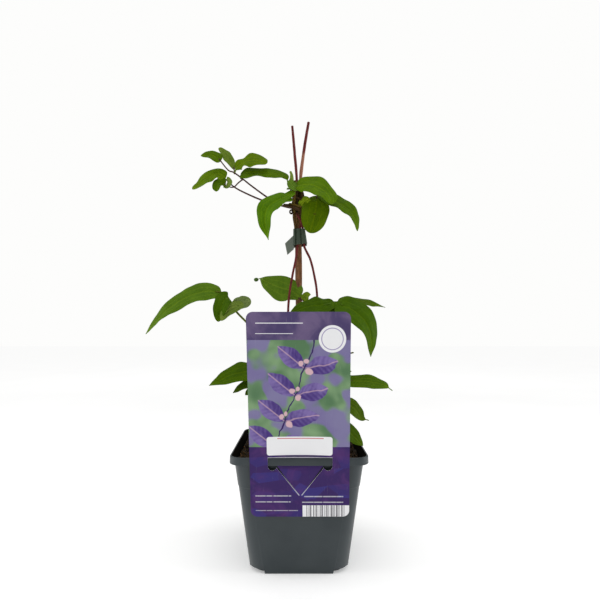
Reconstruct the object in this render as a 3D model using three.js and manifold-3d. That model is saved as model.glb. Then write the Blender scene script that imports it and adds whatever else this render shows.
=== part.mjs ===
// A young climbing clematis in a square nursery pot, clipped to a cane, with a hang-on plant label.
// Millimetres. +Z is up, +X is right, and the label faces -Y.
// The origin is the middle of the pot's underside.

import * as THREE from 'three';
import { mergeVertices } from 'three/addons/utils/BufferGeometryUtils.js';
import Module from 'manifold-3d';

const wasm = await Module();
wasm.setup();

// Clearance between pieces that rest on each other.
const GAP = 0.35;

// Pot: a square moulding with rounded corners, a step for stacking and a turned-down rim.
const POT_HEIGHT = 115.2;
const FOOT_HALF = 48.5;
const FOOT_CORNER = 16;
const FOOT_BEVEL = 0.6;
const FOOT_BEVEL_HEIGHT = 1;
const NECK_HALF = 61;
const NECK_CORNER = 13;
const NECK_Z = 108;
const WALL = 1.3;
const FLOOR = 2.2;
const STEP_Z = 84.5;
const STEP_OUT = 0.5;
const STEP_ABOVE_INSIDE = 2;
const STEP_BELOW_INSIDE = 0.5;
const NOTCH_HEIGHT = 4;
const NOTCH_DIP = 5;
const RIM_HALF = 65;
const RIM_CORNER = 12.4;
const RIM_DROP = 7.2;
const RIM_THICKNESS = 1.3;
const RIM_TAPER = 0.4;
const RIM_LIP = 0.7;
const CORNER_STEPS = 5;
const DRAIN_COUNT = 8;
const DRAIN_SIDES = 10;
const DRAIN_RADIUS = 4;
const DRAIN_REACH = 33;

// Soil: fills the pot to a finger's breadth under the rim.
const SOIL_TOP = 102;
const SOIL_EDGE_DROP = 1;
const SOIL_LUMP = 1.2;
const SOIL_RING_SHARES = [0.84, 0.66, 0.48, 0.3, 0.12];

// Cane: a split square stick, turned a little about its own length.
const CANE_SIDE = 5.8;
const CANE_CORNER = 0.9;
const CANE_TURN = THREE.MathUtils.degToRad(25);
const CANE_LEVELS = 9;
const CANE_CORNER_STEPS = 2;
const CANE_HOLE_RADIUS = 4.3;
const CANE_HOLE_SIDES = 16;
const CANE_ROUTE = [[0, 0, 30], [0, 0, 140], [0, 0, 265], [-0.5, 0, 324], [-1.2, 0, 376]];

// Stems: two old vines that bow out under the clip and cross above it.
const STEM_RADIUS = 1.2;
const STEM_SIDES = 6;
const STEM_STEPS = 44;
const STEM_A_ROUTE = [
  [-7, -3, 86], [-7, -3, 102], [-11, -4, 150], [-12.5, -8, 212], [-10.5, -10, 264], [-6.5, -9, 291],
  [-3.5, -7.2, 306], [-1.3, -6.3, 322], [0.6, -5.7, 338], [3.4, -5.3, 350], [5.2, -3.6, 361],
  [4.6, -2, 376], [1.7, 0.6, 391], [5.3, 2, 424], [10.5, 4, 457],
];
const STEM_B_ROUTE = [
  [7, 3, 86], [7, 3, 102], [15.5, 2.5, 150], [21.5, -1, 212], [19.5, -3, 268], [16.5, -4.4, 290],
  [12, -5, 308], [5.5, -5.8, 322], [4.9, -6.6, 334], [2.6, -8.7, 346], [-1.5, -7.8, 354],
  [-4.4, -6.2, 362], [-5.3, -4, 375], [-2.2, -2.3, 391], [-4.5, -2, 422], [-7, -3, 449.5],
];
const JOINT_RADIUS = 1.9;
const JOINT_STRETCH = 1.6;
const JOINT_SIDES = 7;
const JOINT_LEVELS = 4;
const STEM_A_JOINTS = [165, 217, 364];
const STEM_B_JOINTS = [140, 165, 205, 263, 378];

// Clip: an open band round the cane and both stems, with a flag-shaped grip.
const CLIP_LOW = 321.8;
const CLIP_HEIGHT = 17.4;
const CLIP_LEFT = -5.9;
const CLIP_RIGHT = 8.8;
const CLIP_FRONT = -10.4;
const CLIP_BACK = 5.3;
const CLIP_THICKNESS = 1.1;
const CLIP_CORNER = 2.4;
const CLIP_MOUTH = 2.2;
const FLAG_OUTLINE = [[-14.5, 324], [-5.2, 333], [-5.2, 318], [-12, 312]];
const FLAG_FRONT = -8.4;

// Label: a thin card that hooks over the rim by a slot and a tongue.
const CARD_LEFT = -45.6;
const CARD_RIGHT = 45.6;
const CARD_LOW = 58.9;
const CARD_HIGH = 247.5;
const CARD_CORNER = 6;
const CARD_THICKNESS = 0.8;
const CARD_ROLL = -0.009;
const CARD_SLOPE = -0.146;
const CARD_Y_AT_RIM = -65.9;
const CARD_RIM_Z = 112;
const CARD_COLUMNS = 8;
const CARD_ROWS = 13;
const SLOT_LEFT = -29;
const SLOT_RIGHT = 30;
const SLOT_TOP = 115.6;
const LOBE_Z = 107.5;
const LOBE_RADIUS = 4;
const TONGUE_TOP = 110.8;
const TONGUE_POINT_Z = 79;
const TONGUE_NECK = 1.8;
const TONGUE_TUCK = 3;
const KERF = 0.5;
const CARD_DENT = 2.2;
const CARD_DENT_HEIGHT = 45;

// Leaves: thin blades on round stalks.
const BLADE_THICKNESS = 0.7;
const BLADE_ROWS = 7;
const BLADE_COLUMNS = 4;
const BLADE_TIP_HALF = 0.5;
const NUDGE = 0.001;
const STALK_RADIUS = 0.85;
const STALK_SIDES = 5;
const CANE_CLEAR_RADIUS = 4.4;
const CANE_CLEAR_SIDES = 10;
const CANE_CLEAR_STEPS = 8;

// Turns a closed three.js geometry into a solid for joining and cutting.
function solid(geometry) {
  const bare = geometry.index ? geometry.clone() : geometry;
  bare.deleteAttribute('normal');
  bare.deleteAttribute('uv');
  const merged = mergeVertices(bare, 1e-5);
  const vertProperties = new Float32Array(merged.attributes.position.array);
  const triVerts = new Uint32Array(merged.index.array);
  return new wasm.Manifold(new wasm.Mesh({ numProp: 3, vertProperties, triVerts }));
}

// Turns a solid back into a three.js geometry.
function geometryOf(body) {
  const { vertProperties, triVerts } = body.getMesh();
  const geometry = new THREE.BufferGeometry();
  geometry.setAttribute('position', new THREE.BufferAttribute(new Float32Array(vertProperties), 3));
  geometry.setIndex(new THREE.BufferAttribute(new Uint32Array(triVerts), 1));
  geometry.computeVertexNormals();
  return geometry;
}

function joined(bodies) {
  return bodies.reduce((whole, body) => whole.add(body));
}

// A smooth route through hand-placed points.
function route(points) {
  const places = points.map((point) => new THREE.Vector3(...point));
  return new THREE.CatmullRomCurve3(places, false, 'catmullrom', 0.5);
}

function disc(radius, sides) {
  const corners = [];
  for (let side = 0; side < sides; side += 1) {
    const angle = (side / sides) * 2 * Math.PI;
    corners.push(new THREE.Vector2(radius * Math.cos(angle), radius * Math.sin(angle)));
  }
  return new THREE.Shape(corners);
}

// A round rod along a route, with flat ends.
function rod(points, radius, sides, steps) {
  const options = { steps, extrudePath: route(points), bevelEnabled: false };
  return solid(new THREE.ExtrudeGeometry(disc(radius, sides), options));
}

// A closed skin over a stack of outlines that have the same number of points, listed along the skin.
function loft(rings) {
  const count = rings[0].length;
  const bands = rings.length - 1;
  const shape = new THREE.CylinderGeometry(1, 1, 1, count, bands);
  const place = shape.attributes.position;
  for (let i = 0; i < place.count; i += 1) {
    const ring = rings[Math.round((place.getY(i) + 0.5) * bands)];
    const onRim = Math.hypot(place.getX(i), place.getZ(i)) > 0.5;
    const turn = Math.atan2(place.getX(i), place.getZ(i)) / (2 * Math.PI);
    const middle = ring.reduce((sum, point) => sum.add(point), new THREE.Vector3()).divideScalar(count);
    const target = onRim ? ring[Math.round((turn + 1) * count) % count] : middle;
    place.setXYZ(i, target.x, target.y, target.z);
  }
  return solid(shape);
}

// A square outline with round corners at one height. A dip draws the corners in.
function section(half, corner, z, dip = 0, steps = CORNER_STEPS) {
  const ring = [];
  for (let quarter = 0; quarter < 4; quarter += 1) {
    const right = quarter === 0 || quarter === 3 ? 1 : -1;
    const back = quarter < 2 ? 1 : -1;
    for (let step = 0; step <= steps; step += 1) {
      const share = step / steps;
      const angle = ((quarter + share) * Math.PI) / 2;
      const reach = corner - dip * Math.sin(share * Math.PI);
      const x = right * (half - corner) + reach * Math.cos(angle);
      const y = back * (half - corner) + reach * Math.sin(angle);
      ring.push(new THREE.Vector3(x, y, z));
    }
  }
  return ring;
}

// The pot wall's outline at one height, moved in from the outside face by a depth.
function wall(z, depth, dip = 0) {
  const share = z / NECK_Z;
  const step = z > STEP_Z ? STEP_OUT : 0;
  const half = FOOT_HALF + (NECK_HALF - FOOT_HALF) * share + step - depth;
  const corner = FOOT_CORNER + (NECK_CORNER - FOOT_CORNER) * share + step - depth;
  return section(half, corner, z, dip);
}

function cylinder(x, y, low, high, radius, sides) {
  const shape = new THREE.CylinderGeometry(radius, radius, high - low, sides);
  shape.rotateX(Math.PI / 2);
  shape.translate(x, y, (low + high) / 2);
  return solid(shape);
}

function makePot() {
  const skirtInner = RIM_HALF - RIM_THICKNESS;
  const rimLow = POT_HEIGHT - RIM_DROP;
  const rimRoof = POT_HEIGHT - RIM_THICKNESS;
  let body = loft([
    section(FOOT_HALF - FOOT_BEVEL, FOOT_CORNER - FOOT_BEVEL, 0, NOTCH_DIP),
    wall(FOOT_BEVEL_HEIGHT, 0, NOTCH_DIP),
    wall(NOTCH_HEIGHT, 0, NOTCH_DIP),
    wall(NOTCH_HEIGHT, 0),
    wall(STEP_Z, 0),
    wall(STEP_Z + STEP_OUT, 0),
    wall(rimRoof, 0),
    section(skirtInner, RIM_CORNER - RIM_THICKNESS, rimRoof),
    section(skirtInner, RIM_CORNER - RIM_THICKNESS, rimLow),
    section(RIM_HALF - RIM_TAPER, RIM_CORNER, rimLow),
    section(RIM_HALF, RIM_CORNER, POT_HEIGHT - RIM_LIP),
    section(RIM_HALF - RIM_LIP, RIM_CORNER - RIM_LIP, POT_HEIGHT),
    wall(POT_HEIGHT, WALL),
    wall(STEP_Z + STEP_ABOVE_INSIDE, WALL),
    wall(STEP_Z - STEP_BELOW_INSIDE, WALL),
    wall(NOTCH_HEIGHT + WALL, WALL),
    wall(NOTCH_HEIGHT + WALL, WALL, NOTCH_DIP),
    wall(FLOOR, WALL, NOTCH_DIP),
  ]);
  for (let hole = 0; hole < DRAIN_COUNT; hole += 1) {
    const angle = (hole / DRAIN_COUNT) * 2 * Math.PI;
    const x = DRAIN_REACH * Math.cos(angle);
    const y = DRAIN_REACH * Math.sin(angle);
    body = body.subtract(cylinder(x, y, -FLOOR, 2 * FLOOR, DRAIN_RADIUS, DRAIN_SIDES));
  }
  return body;
}

// Rises and hollows of the soil's surface.
function lump(x, y) {
  return SOIL_LUMP * (Math.sin(0.17 * x + 1) * Math.cos(0.21 * y) + 0.6 * Math.sin(0.37 * x - 0.29 * y));
}

function makeSoil() {
  const depth = WALL + GAP;
  const shelf = NOTCH_HEIGHT + WALL + GAP;
  const rim = wall(SOIL_TOP, depth);
  const rings = [
    wall(FLOOR + GAP, depth, NOTCH_DIP),
    wall(shelf, depth, NOTCH_DIP),
    wall(shelf, depth),
    wall(STEP_Z - STEP_BELOW_INSIDE - GAP, depth),
    wall(STEP_Z + STEP_ABOVE_INSIDE + GAP, depth),
    wall(SOIL_TOP - SOIL_EDGE_DROP, depth),
  ];
  for (const share of SOIL_RING_SHARES) {
    rings.push(rim.map((p) => new THREE.Vector3(
      p.x * share,
      p.y * share,
      SOIL_TOP + lump(p.x * share, p.y * share),
    )));
  }
  const caneHole = cylinder(0, 0, CANE_ROUTE[0][2] - GAP, POT_HEIGHT, CANE_HOLE_RADIUS, CANE_HOLE_SIDES);
  return loft(rings)
    .subtract(caneHole)
    .subtract(stem(STEM_A_ROUTE, [], GAP))
    .subtract(stem(STEM_B_ROUTE, [], GAP));
}

function makeCane() {
  const line = route(CANE_ROUTE);
  const rings = [];
  for (let level = 0; level <= CANE_LEVELS; level += 1) {
    const centre = line.getPoint(level / CANE_LEVELS);
    const half = (CANE_SIDE / 2) * (1 + 0.02 * Math.sin(2.3 * level));
    const ring = section(half, CANE_CORNER, 0, 0, CANE_CORNER_STEPS);
    ring.forEach((p) => p.applyAxisAngle(new THREE.Vector3(0, 0, 1), CANE_TURN).add(centre));
    rings.push(ring);
  }
  return loft(rings);
}

// The point of a stem's route at a height.
function stemAt(points, z) {
  const line = route(points);
  let low = 0;
  let high = 1;
  for (let pass = 0; pass < 30; pass += 1) {
    const middle = (low + high) / 2;
    if (line.getPoint(middle).z < z) low = middle;
    else high = middle;
  }
  return line.getPoint(low);
}

// A stem with swollen joints where leaves grow. Extra fattens it, to cut its room out of what it meets.
function stem(points, joints, extra = 0) {
  const [first, ...rest] = points;
  const rooted = [[first[0], first[1], first[2] - extra], ...rest];
  const parts = [rod(rooted, STEM_RADIUS + extra, STEM_SIDES, STEM_STEPS)];
  for (const z of joints) {
    const centre = stemAt(points, z);
    const ball = new THREE.SphereGeometry(JOINT_RADIUS + extra, JOINT_SIDES, JOINT_LEVELS);
    ball.rotateX(Math.PI / 2);
    ball.scale(1, 1, JOINT_STRETCH);
    ball.translate(centre.x, centre.y, centre.z);
    parts.push(solid(ball));
  }
  return joined(parts);
}

function roundedBox(left, right, front, back, corner) {
  const shape = new THREE.Shape();
  shape.moveTo(left + corner, front);
  shape.lineTo(right - corner, front);
  shape.absarc(right - corner, front + corner, corner, -Math.PI / 2, 0);
  shape.lineTo(right, back - corner);
  shape.absarc(right - corner, back - corner, corner, 0, Math.PI / 2);
  shape.lineTo(left + corner, back);
  shape.absarc(left + corner, back - corner, corner, Math.PI / 2, Math.PI);
  shape.lineTo(left, front + corner);
  shape.absarc(left + corner, front + corner, corner, Math.PI, 1.5 * Math.PI);
  return shape;
}

function extruded(shape, depth, curveSegments = 4) {
  return new THREE.ExtrudeGeometry(shape, { depth, curveSegments, bevelEnabled: false });
}

function makeClip() {
  const t = CLIP_THICKNESS;
  const outer = extruded(roundedBox(CLIP_LEFT, CLIP_RIGHT, CLIP_FRONT, CLIP_BACK, CLIP_CORNER), CLIP_HEIGHT);
  const room = roundedBox(CLIP_LEFT + t, CLIP_RIGHT - t, CLIP_FRONT + t, CLIP_BACK - t, CLIP_CORNER - t);
  const inner = extruded(room, CLIP_HEIGHT + 2);
  inner.translate(0, 0, -1);
  const mouth = new THREE.BoxGeometry(CLIP_MOUTH, 4 * t, CLIP_HEIGHT + 2);
  mouth.translate(0, CLIP_BACK, CLIP_HEIGHT / 2);
  const band = solid(outer).subtract(solid(inner)).subtract(solid(mouth)).translate([0, 0, CLIP_LOW]);
  const flag = extruded(new THREE.Shape(FLAG_OUTLINE.map(([x, z]) => new THREE.Vector2(x, z))), t);
  flag.rotateX(Math.PI / 2);
  flag.translate(0, FLAG_FRONT + t, 0);
  return band.add(solid(flag));
}

// The card's slot with its two round lobes, and the two cuts that free the tongue, as one hole.
function slotHole() {
  const hole = new THREE.Path();
  const leftLobe = SLOT_LEFT + LOBE_RADIUS;
  const rightLobe = SLOT_RIGHT - LOBE_RADIUS;
  const middle = (SLOT_LEFT + SLOT_RIGHT) / 2;
  const leftShoulder = leftLobe + LOBE_RADIUS;
  const rightShoulder = rightLobe - LOBE_RADIUS;
  const neckZ = TONGUE_POINT_Z + 2;
  hole.moveTo(SLOT_LEFT, SLOT_TOP);
  hole.lineTo(SLOT_LEFT, LOBE_Z);
  hole.absarc(leftLobe, LOBE_Z, LOBE_RADIUS, Math.PI, 1.9 * Math.PI);
  hole.lineTo(middle - TONGUE_NECK - KERF, neckZ);
  hole.lineTo(middle - TONGUE_NECK, neckZ);
  hole.lineTo(leftShoulder + KERF, LOBE_Z);
  hole.lineTo(leftShoulder + KERF, TONGUE_TOP);
  hole.lineTo(rightShoulder - KERF, TONGUE_TOP);
  hole.lineTo(rightShoulder - KERF, LOBE_Z);
  hole.lineTo(middle + TONGUE_NECK, neckZ);
  hole.lineTo(middle + TONGUE_NECK + KERF, neckZ);
  hole.absarc(rightLobe, LOBE_Z, LOBE_RADIUS, 1.1 * Math.PI, 2 * Math.PI);
  hole.lineTo(SLOT_RIGHT, SLOT_TOP);
  return hole;
}

// How far the hung card lies behind its flat plane: the tongue tucks in, the middle above it sags back.
function cardDent(x, z) {
  const middle = (SLOT_LEFT + SLOT_RIGHT) / 2;
  const climb = (z - TONGUE_POINT_Z) / (LOBE_Z - TONGUE_POINT_Z);
  const reach = (SLOT_RIGHT - SLOT_LEFT) / 2 - 2 * LOBE_RADIUS + KERF / 2;
  if (climb > 0 && z < TONGUE_TOP + 0.1 && Math.abs(x - middle) < reach * Math.min(climb, 1) + KERF / 2) {
    return (TONGUE_TUCK * (z - TONGUE_POINT_Z)) / (TONGUE_TOP - TONGUE_POINT_Z);
  }
  if (z < SLOT_TOP - 0.1) return 0;
  const across = Math.max(0, 1 - (x / SLOT_LEFT) ** 2);
  return CARD_DENT * across * Math.exp(-(((z - SLOT_TOP) / CARD_DENT_HEIGHT) ** 2));
}

function makeLabel() {
  const width = CARD_RIGHT - CARD_LEFT;
  const height = CARD_HIGH - CARD_LOW;
  const middle = (CARD_LOW + CARD_HIGH) / 2;
  const sheet = new THREE.BoxGeometry(width, CARD_THICKNESS, height, CARD_COLUMNS, 1, CARD_ROWS);
  sheet.translate((CARD_LEFT + CARD_RIGHT) / 2, 0, middle);
  const outline = roundedBox(CARD_LEFT, CARD_RIGHT, CARD_LOW, CARD_HIGH, CARD_CORNER);
  outline.holes.push(slotHole());
  const cutter = extruded(outline, 4, 5);
  cutter.rotateX(Math.PI / 2);
  cutter.translate(0, 2, 0);
  const card = geometryOf(solid(sheet).intersect(solid(cutter)));
  const place = card.attributes.position;
  for (let i = 0; i < place.count; i += 1) {
    const x = place.getX(i);
    const z = place.getZ(i);
    const plane = CARD_Y_AT_RIM + CARD_SLOPE * (z - CARD_RIM_Z);
    place.setXYZ(i, x + CARD_ROLL * (z - middle), place.getY(i) + plane + cardDent(x, z), z);
  }
  return solid(card);
}

// A closed slab over a grid: at(row, column, side) gives a corner, side 1 being the upper face.
function slab(rows, columns, at) {
  const places = [];
  const faces = [];
  const id = (row, column, side) => (row * (columns + 1) + column) * 2 + side;
  const quad = (a, b, c, d) => faces.push(a, b, c, a, c, d);
  for (let row = 0; row <= rows; row += 1) {
    for (let column = 0; column <= columns; column += 1) {
      places.push(...at(row, column, 0), ...at(row, column, 1));
    }
  }
  for (let r = 0; r < rows; r += 1) {
    quad(id(r, 0, 0), id(r, 0, 1), id(r + 1, 0, 1), id(r + 1, 0, 0));
    quad(id(r, columns, 0), id(r + 1, columns, 0), id(r + 1, columns, 1), id(r, columns, 1));
    for (let c = 0; c < columns; c += 1) {
      quad(id(r, c, 1), id(r, c + 1, 1), id(r + 1, c + 1, 1), id(r + 1, c, 1));
      faces.push(id(r, c, 0), id(r + 1, c + 1, 0), id(r, c + 1, 0));
      faces.push(id(r, c, 0), id(r + 1, c, 0), id(r + 1, c + 1, 0));
    }
  }
  for (let c = 0; c < columns; c += 1) {
    quad(id(0, c, 0), id(0, c + 1, 0), id(0, c + 1, 1), id(0, c, 1));
    quad(id(rows, c, 0), id(rows, c, 1), id(rows, c + 1, 1), id(rows, c + 1, 0));
  }
  const shape = new THREE.BufferGeometry();
  shape.setAttribute('position', new THREE.Float32BufferAttribute(places, 3));
  shape.setIndex(faces);
  return solid(shape);
}

// A direction from a turn to the right of the front and a lean upwards, both in degrees.
function facing([turn, lean]) {
  const t = THREE.MathUtils.degToRad(turn);
  const l = THREE.MathUtils.degToRad(lean);
  return new THREE.Vector3(Math.sin(t) * Math.cos(l), -Math.cos(t) * Math.cos(l), Math.sin(l));
}

// One leaf blade along its midrib. The face turns from its direction at the base to that at the tip.
// swell sets how fast the width grows from the base and falls to the tip, and length is the share of
// the midrib that carries the blade before the thin tail. The halves fold up from the midrib, the
// edges droop again by the camber, and waves run along them.
function blade({
  midrib, half, base, tip = base,
  fold = 10, swell = [0.55, 0.85], length = 1, wave = [0.07, 2, 0], camber = 0.12,
}) {
  const line = route(midrib);
  const [grow, fall] = swell;
  const widest = grow / (grow + fall);
  const slant = THREE.MathUtils.degToRad(fold);
  const frames = [];
  for (let row = 0; row <= BLADE_ROWS; row += 1) {
    const s = row / BLADE_ROWS;
    const turned = [base[0] + (tip[0] - base[0]) * s, base[1] + (tip[1] - base[1]) * s];
    const ahead = line.getPoint(Math.min(s + NUDGE, 1));
    const along = ahead.sub(line.getPoint(Math.max(s - NUDGE, 0))).normalize();
    const up = facing(turned);
    up.addScaledVector(along, -up.dot(along)).normalize();
    const side = new THREE.Vector3().crossVectors(along, up);
    const share = Math.min(Math.max(s, NUDGE) / length, 1 - NUDGE);
    const shape = (share / widest) ** grow * ((1 - share) / (1 - widest)) ** fall;
    frames.push({ s, at: line.getPoint(s), up, side, width: Math.max(half * shape, BLADE_TIP_HALF) });
  }
  const [swing, count, phase] = wave;
  return slab(BLADE_ROWS, BLADE_COLUMNS, (row, column, top) => {
    const { s, at, up, side, width } = frames[row];
    const across = (2 * column) / BLADE_COLUMNS - 1;
    const ripple = swing * across ** 2 * Math.sin(2 * Math.PI * count * s + phase + 1.3 * Math.sign(across));
    const lift = width * (Math.abs(across) * Math.sin(slant) - camber * across ** 2 + ripple);
    const point = at.clone().addScaledVector(side, across * width * Math.cos(slant));
    return point.addScaledVector(up, lift + (top - 0.5) * BLADE_THICKNESS);
  });
}

function stalk(points, radius = STALK_RADIUS) {
  return rod(points, radius, STALK_SIDES, 2 * points.length);
}

// Stalks and blades grown together, cut clear of the stems and the cane that they butt on.
function spray(stalks, blades) {
  const whole = joined([...stalks.map((points) => stalk(points)), ...blades.map(blade)]);
  return whole.subtract(stemARoom).subtract(stemBRoom).subtract(caneRoom);
}

const stemARoom = stem(STEM_A_ROUTE, STEM_A_JOINTS, GAP);
const stemBRoom = stem(STEM_B_ROUTE, STEM_B_JOINTS, GAP);
const caneRoom = rod(CANE_ROUTE, CANE_CLEAR_RADIUS, CANE_CLEAR_SIDES, CANE_CLEAR_STEPS);

function upperLeftSpray() {
  const lowerStalk = [
    [-4.4, -6.2, 362], [-10, -2, 363.5], [-17.5, 2, 366.5], [-39.5, 10, 375], [-58, 14, 384],
    [-71, 16, 391.5], [-79, 17, 399], [-85, 16, 403.5],
  ];
  const upperStalk = [
    [-20, 3.2, 367.8], [-35.5, 6, 378], [-51.5, 9, 390.5], [-62.5, 10, 399.5], [-71, 10, 405.5],
    [-77, 10, 408], [-85.5, 11, 418.5], [-89, 10, 421],
  ];
  const link = [[-61, 9.8, 398], [-66.5, 12, 394.5], [-71, 15.5, 391.8], [-76, 17, 392], [-83, 14, 394]];
  const twigUp = [[-70, 10, 404.5], [-70.5, 10.4, 409], [-71.5, 11.4, 413]];
  const twigRight = [[-70, 10, 404.5], [-68, 8.5, 409], [-64, 7, 412.5]];
  const twigLow = [[-63, 10, 399.2], [-60.5, 8.5, 401], [-56, 6.5, 402.2]];
  return spray([lowerStalk, upperStalk, link, twigUp, twigRight, twigLow], [
    {
      midrib: [[-85, 11, 418.5], [-90, 9.5, 422], [-98, 7, 423], [-106, 6, 422]],
      half: 7.5, base: [-10, 27], fold: 14, swell: [0.42, 0.75],
    },
    {
      midrib: [[-70.5, 10.4, 408.5], [-74, 12, 416.5], [-80, 15, 426], [-88, 18, 436]],
      half: 5.4, base: [20, 5], fold: 20, swell: [0.6, 0.45], wave: [0.12, 1.5, 1],
    },
    {
      midrib: [[-69, 9.5, 408], [-62, 6, 413.5], [-49, 2, 415.5], [-33.5, -2, 411]],
      half: 9.2, base: [0, 28], swell: [0.6, 0.4], wave: [0.16, 2.2, 0.5],
    },
    {
      midrib: [
        [-63.5, 9.5, 402.5], [-52, 5.5, 403.5], [-35, 1, 401.5], [-15, -2, 397], [-10.8, -2.5, 385],
      ],
      half: 7.8, base: [0, 30], fold: 8, swell: [0.16, 0.4], length: 0.84, wave: [0.1, 2.5, 1],
    },
    {
      midrib: [
        [-80.5, 16.5, 402], [-90, 14.8, 406], [-99.2, 12.5, 400.5], [-107, 10, 393.4], [-115.5, 8, 386.5],
      ],
      half: 7.8, base: [-15, 18], fold: 14, swell: [0.24, 0.5], wave: [0.1, 1.6, 1],
    },
    {
      midrib: [[-80.5, 15.5, 394], [-84.5, 12.5, 395], [-88.5, 10.5, 391.5], [-90, 9.5, 384.5]],
      half: 8.2, base: [-20, 22], fold: 16, swell: [0.45, 0.6],
    },
  ]);
}

function hangingLeaf() {
  return spray([[[-5.3, -4.4, 374], [-8.5, -7, 374], [-14, -11, 372]]], [
    {
      midrib: [
        [-8, -7.5, 372], [-19.5, -14, 368.5], [-31, -19.5, 359], [-34.5, -22, 347], [-33, -22.5, 335],
        [-31, -22, 324.5],
      ],
      half: 11.8, base: [-5, 35], tip: [-40, 0], fold: 14, swell: [0.42, 1], wave: [0.09, 2.5, 0.4],
    },
  ]);
}

function upperRightLeaf() {
  return spray([[[-4.6, -3.4, 380], [-4, -7, 382], [1, -10.5, 383.8], [7, -13, 384]]], [
    {
      midrib: [[-3, -8.5, 383], [7, -13, 384], [19.5, -18, 379.5], [28.5, -22, 371.5], [34, -24, 360.5]],
      half: 12, base: [0, 22], tip: [30, 14], fold: 12, swell: [0.42, 0.4], wave: [0.1, 2.2, 2],
    },
  ]);
}

function rightHangingSpray() {
  const main = [[5, -3.3, 364], [8.5, -4.5, 366.5], [13, -5, 370.5], [19, -5.5, 374.5], [24, -5, 375]];
  const fork = [[17, -5.3, 373], [18.6, -6.5, 373.6], [18.4, -9, 369]];
  return spray([main, fork], [
    {
      midrib: [[20, -5.4, 375], [35, -8, 369.5], [48, -12, 361], [57, -14.5, 350.5], [60.5, -14, 335.5]],
      half: 10.4, base: [10, 30], tip: [45, 14], fold: 12, swell: [0.5, 0.72], wave: [0.08, 2.5, 0],
    },
    {
      midrib: [[19, -6.6, 374.5], [17.6, -11, 363.5], [14.8, -14, 349], [10.8, -14.5, 333]],
      half: 14.8, base: [0, 5], tip: [0, -5], fold: 6, swell: [0.5, 0.5], wave: [0.03, 1.5, 0],
    },
    {
      midrib: [[9, -5, 367], [8.5, -6, 370], [6.5, -7, 371.5], [3.5, -7.5, 371]],
      half: 4.5, base: [-20, 30], swell: [0.4, 0.5],
    },
  ]);
}

function topShoot() {
  const sprig = [[-5, -3.7, 377], [-8, -5, 380], [-8, -6, 384]];
  return spray([sprig], [
    {
      midrib: [[-8, -5.6, 381], [-8.4, -7.5, 387], [-7.6, -8.5, 392.5], [-8.6, -8.5, 399.5]],
      half: 3.2, base: [0, 10], fold: 26, swell: [0.5, 1.1],
    },
    {
      midrib: [[-7.6, -5.2, 380.5], [-9, -7, 381], [-10.8, -9, 380.8], [-12.5, -10.5, 379.8]],
      half: 2.8, base: [-20, 25],
    },
  ]);
}

function midLeftSpray() {
  const reach = [[18.8, -2.6, 264.5], [13, -6, 263.8], [6.5, -7, 264], [2.2, -6.2, 265.4], [0, -5.7, 267]];
  const twig = [[8, -6.8, 263.9], [7, -7.5, 265.4], [6.6, -8.1, 267.4]];
  return spray([reach, twig], [
    {
      midrib: [
        [0.8, -5.9, 266.6], [-6.4, -4.2, 273.8], [-20.3, 0, 278.8], [-32.9, 2, 284.3], [-42, 2.5, 289],
      ],
      half: 14, base: [0, 16], fold: 8, swell: [0.7, 1], wave: [0.08, 2, 0.6],
    },
    {
      midrib: [[4.5, -7.4, 264], [6.5, -8, 267.5], [9, -8.6, 270], [12.4, -9, 270.5]],
      half: 4.6, base: [0, 20],
    },
  ]);
}

function midRightSpray() {
  const reach = [[20.2, -2.9, 261], [27, -10, 261], [34, -18.5, 260.6], [38.5, -23, 260], [44, -26.5, 258]];
  const left = [[36, -20.5, 260.6], [31, -24, 259.4], [25, -26, 258.2]];
  const back = [[34, -18.5, 260.6], [41, -19, 262.2], [48, -16.6, 262.7]];
  return spray([reach, left, back], [
    {
      midrib: [[36.5, -22, 260], [23, -26, 257.8], [7, -30, 255.5], [-9, -34, 249.5]],
      half: 11.5, base: [0, 42], swell: [0.45, 0.75], wave: [0.09, 2.5, 0.3],
    },
    {
      midrib: [[38, -23, 259.5], [50, -30, 254.5], [62.8, -36, 244], [70, -38, 228], [70.5, -36, 206.5]],
      half: 16, base: [0, 40], tip: [50, 5], swell: [0.42, 0.82], wave: [0.07, 2.5, 1.2],
    },
    {
      midrib: [[40, -19.5, 262], [55, -14, 263], [74, -10, 261.5], [90.5, -8, 257]],
      half: 9.5, base: [0, 55], fold: 8, swell: [0.6, 1.2],
    },
  ]);
}

function leftSpray() {
  const reach = [
    [-12.5, -8.2, 216.5], [-25, -11, 219.5], [-38.5, -13, 226], [-55, -12.5, 242], [-67, -10, 254.5],
    [-72.5, -8.5, 264.5], [-78, -9, 271.5], [-86, -11, 273.3],
  ];
  const right = [[-70.5, -9, 261.5], [-68, -7.5, 263.5], [-63, -3, 262.8]];
  const middle = [[-72, -8.6, 264], [-73.5, -11, 266.3], [-76.5, -14, 265]];
  return spray([reach, right, middle], [
    {
      midrib: [[-81, -9.5, 272], [-96, -14, 273], [-115, -20, 266], [-137.5, -24, 249.5], [-154, -26, 229]],
      half: 12, base: [0, 30], tip: [-30, 30], swell: [0.42, 0.85], wave: [0.07, 3, 0.2],
    },
    {
      midrib: [[-73, -10.3, 266], [-76.5, -14.5, 265], [-80, -18, 255.5], [-82.5, -19, 241.5]],
      half: 9.5, base: [-10, 12], fold: 20, swell: [0.42, 0.55],
    },
    {
      midrib: [[-69, -8, 263.5], [-63.5, -3, 262.5], [-57.5, 2, 263.5], [-52.5, 6, 264.5]],
      half: 7, base: [180, 10], fold: 8, swell: [0.45, 0.45],
    },
  ]);
}

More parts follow.
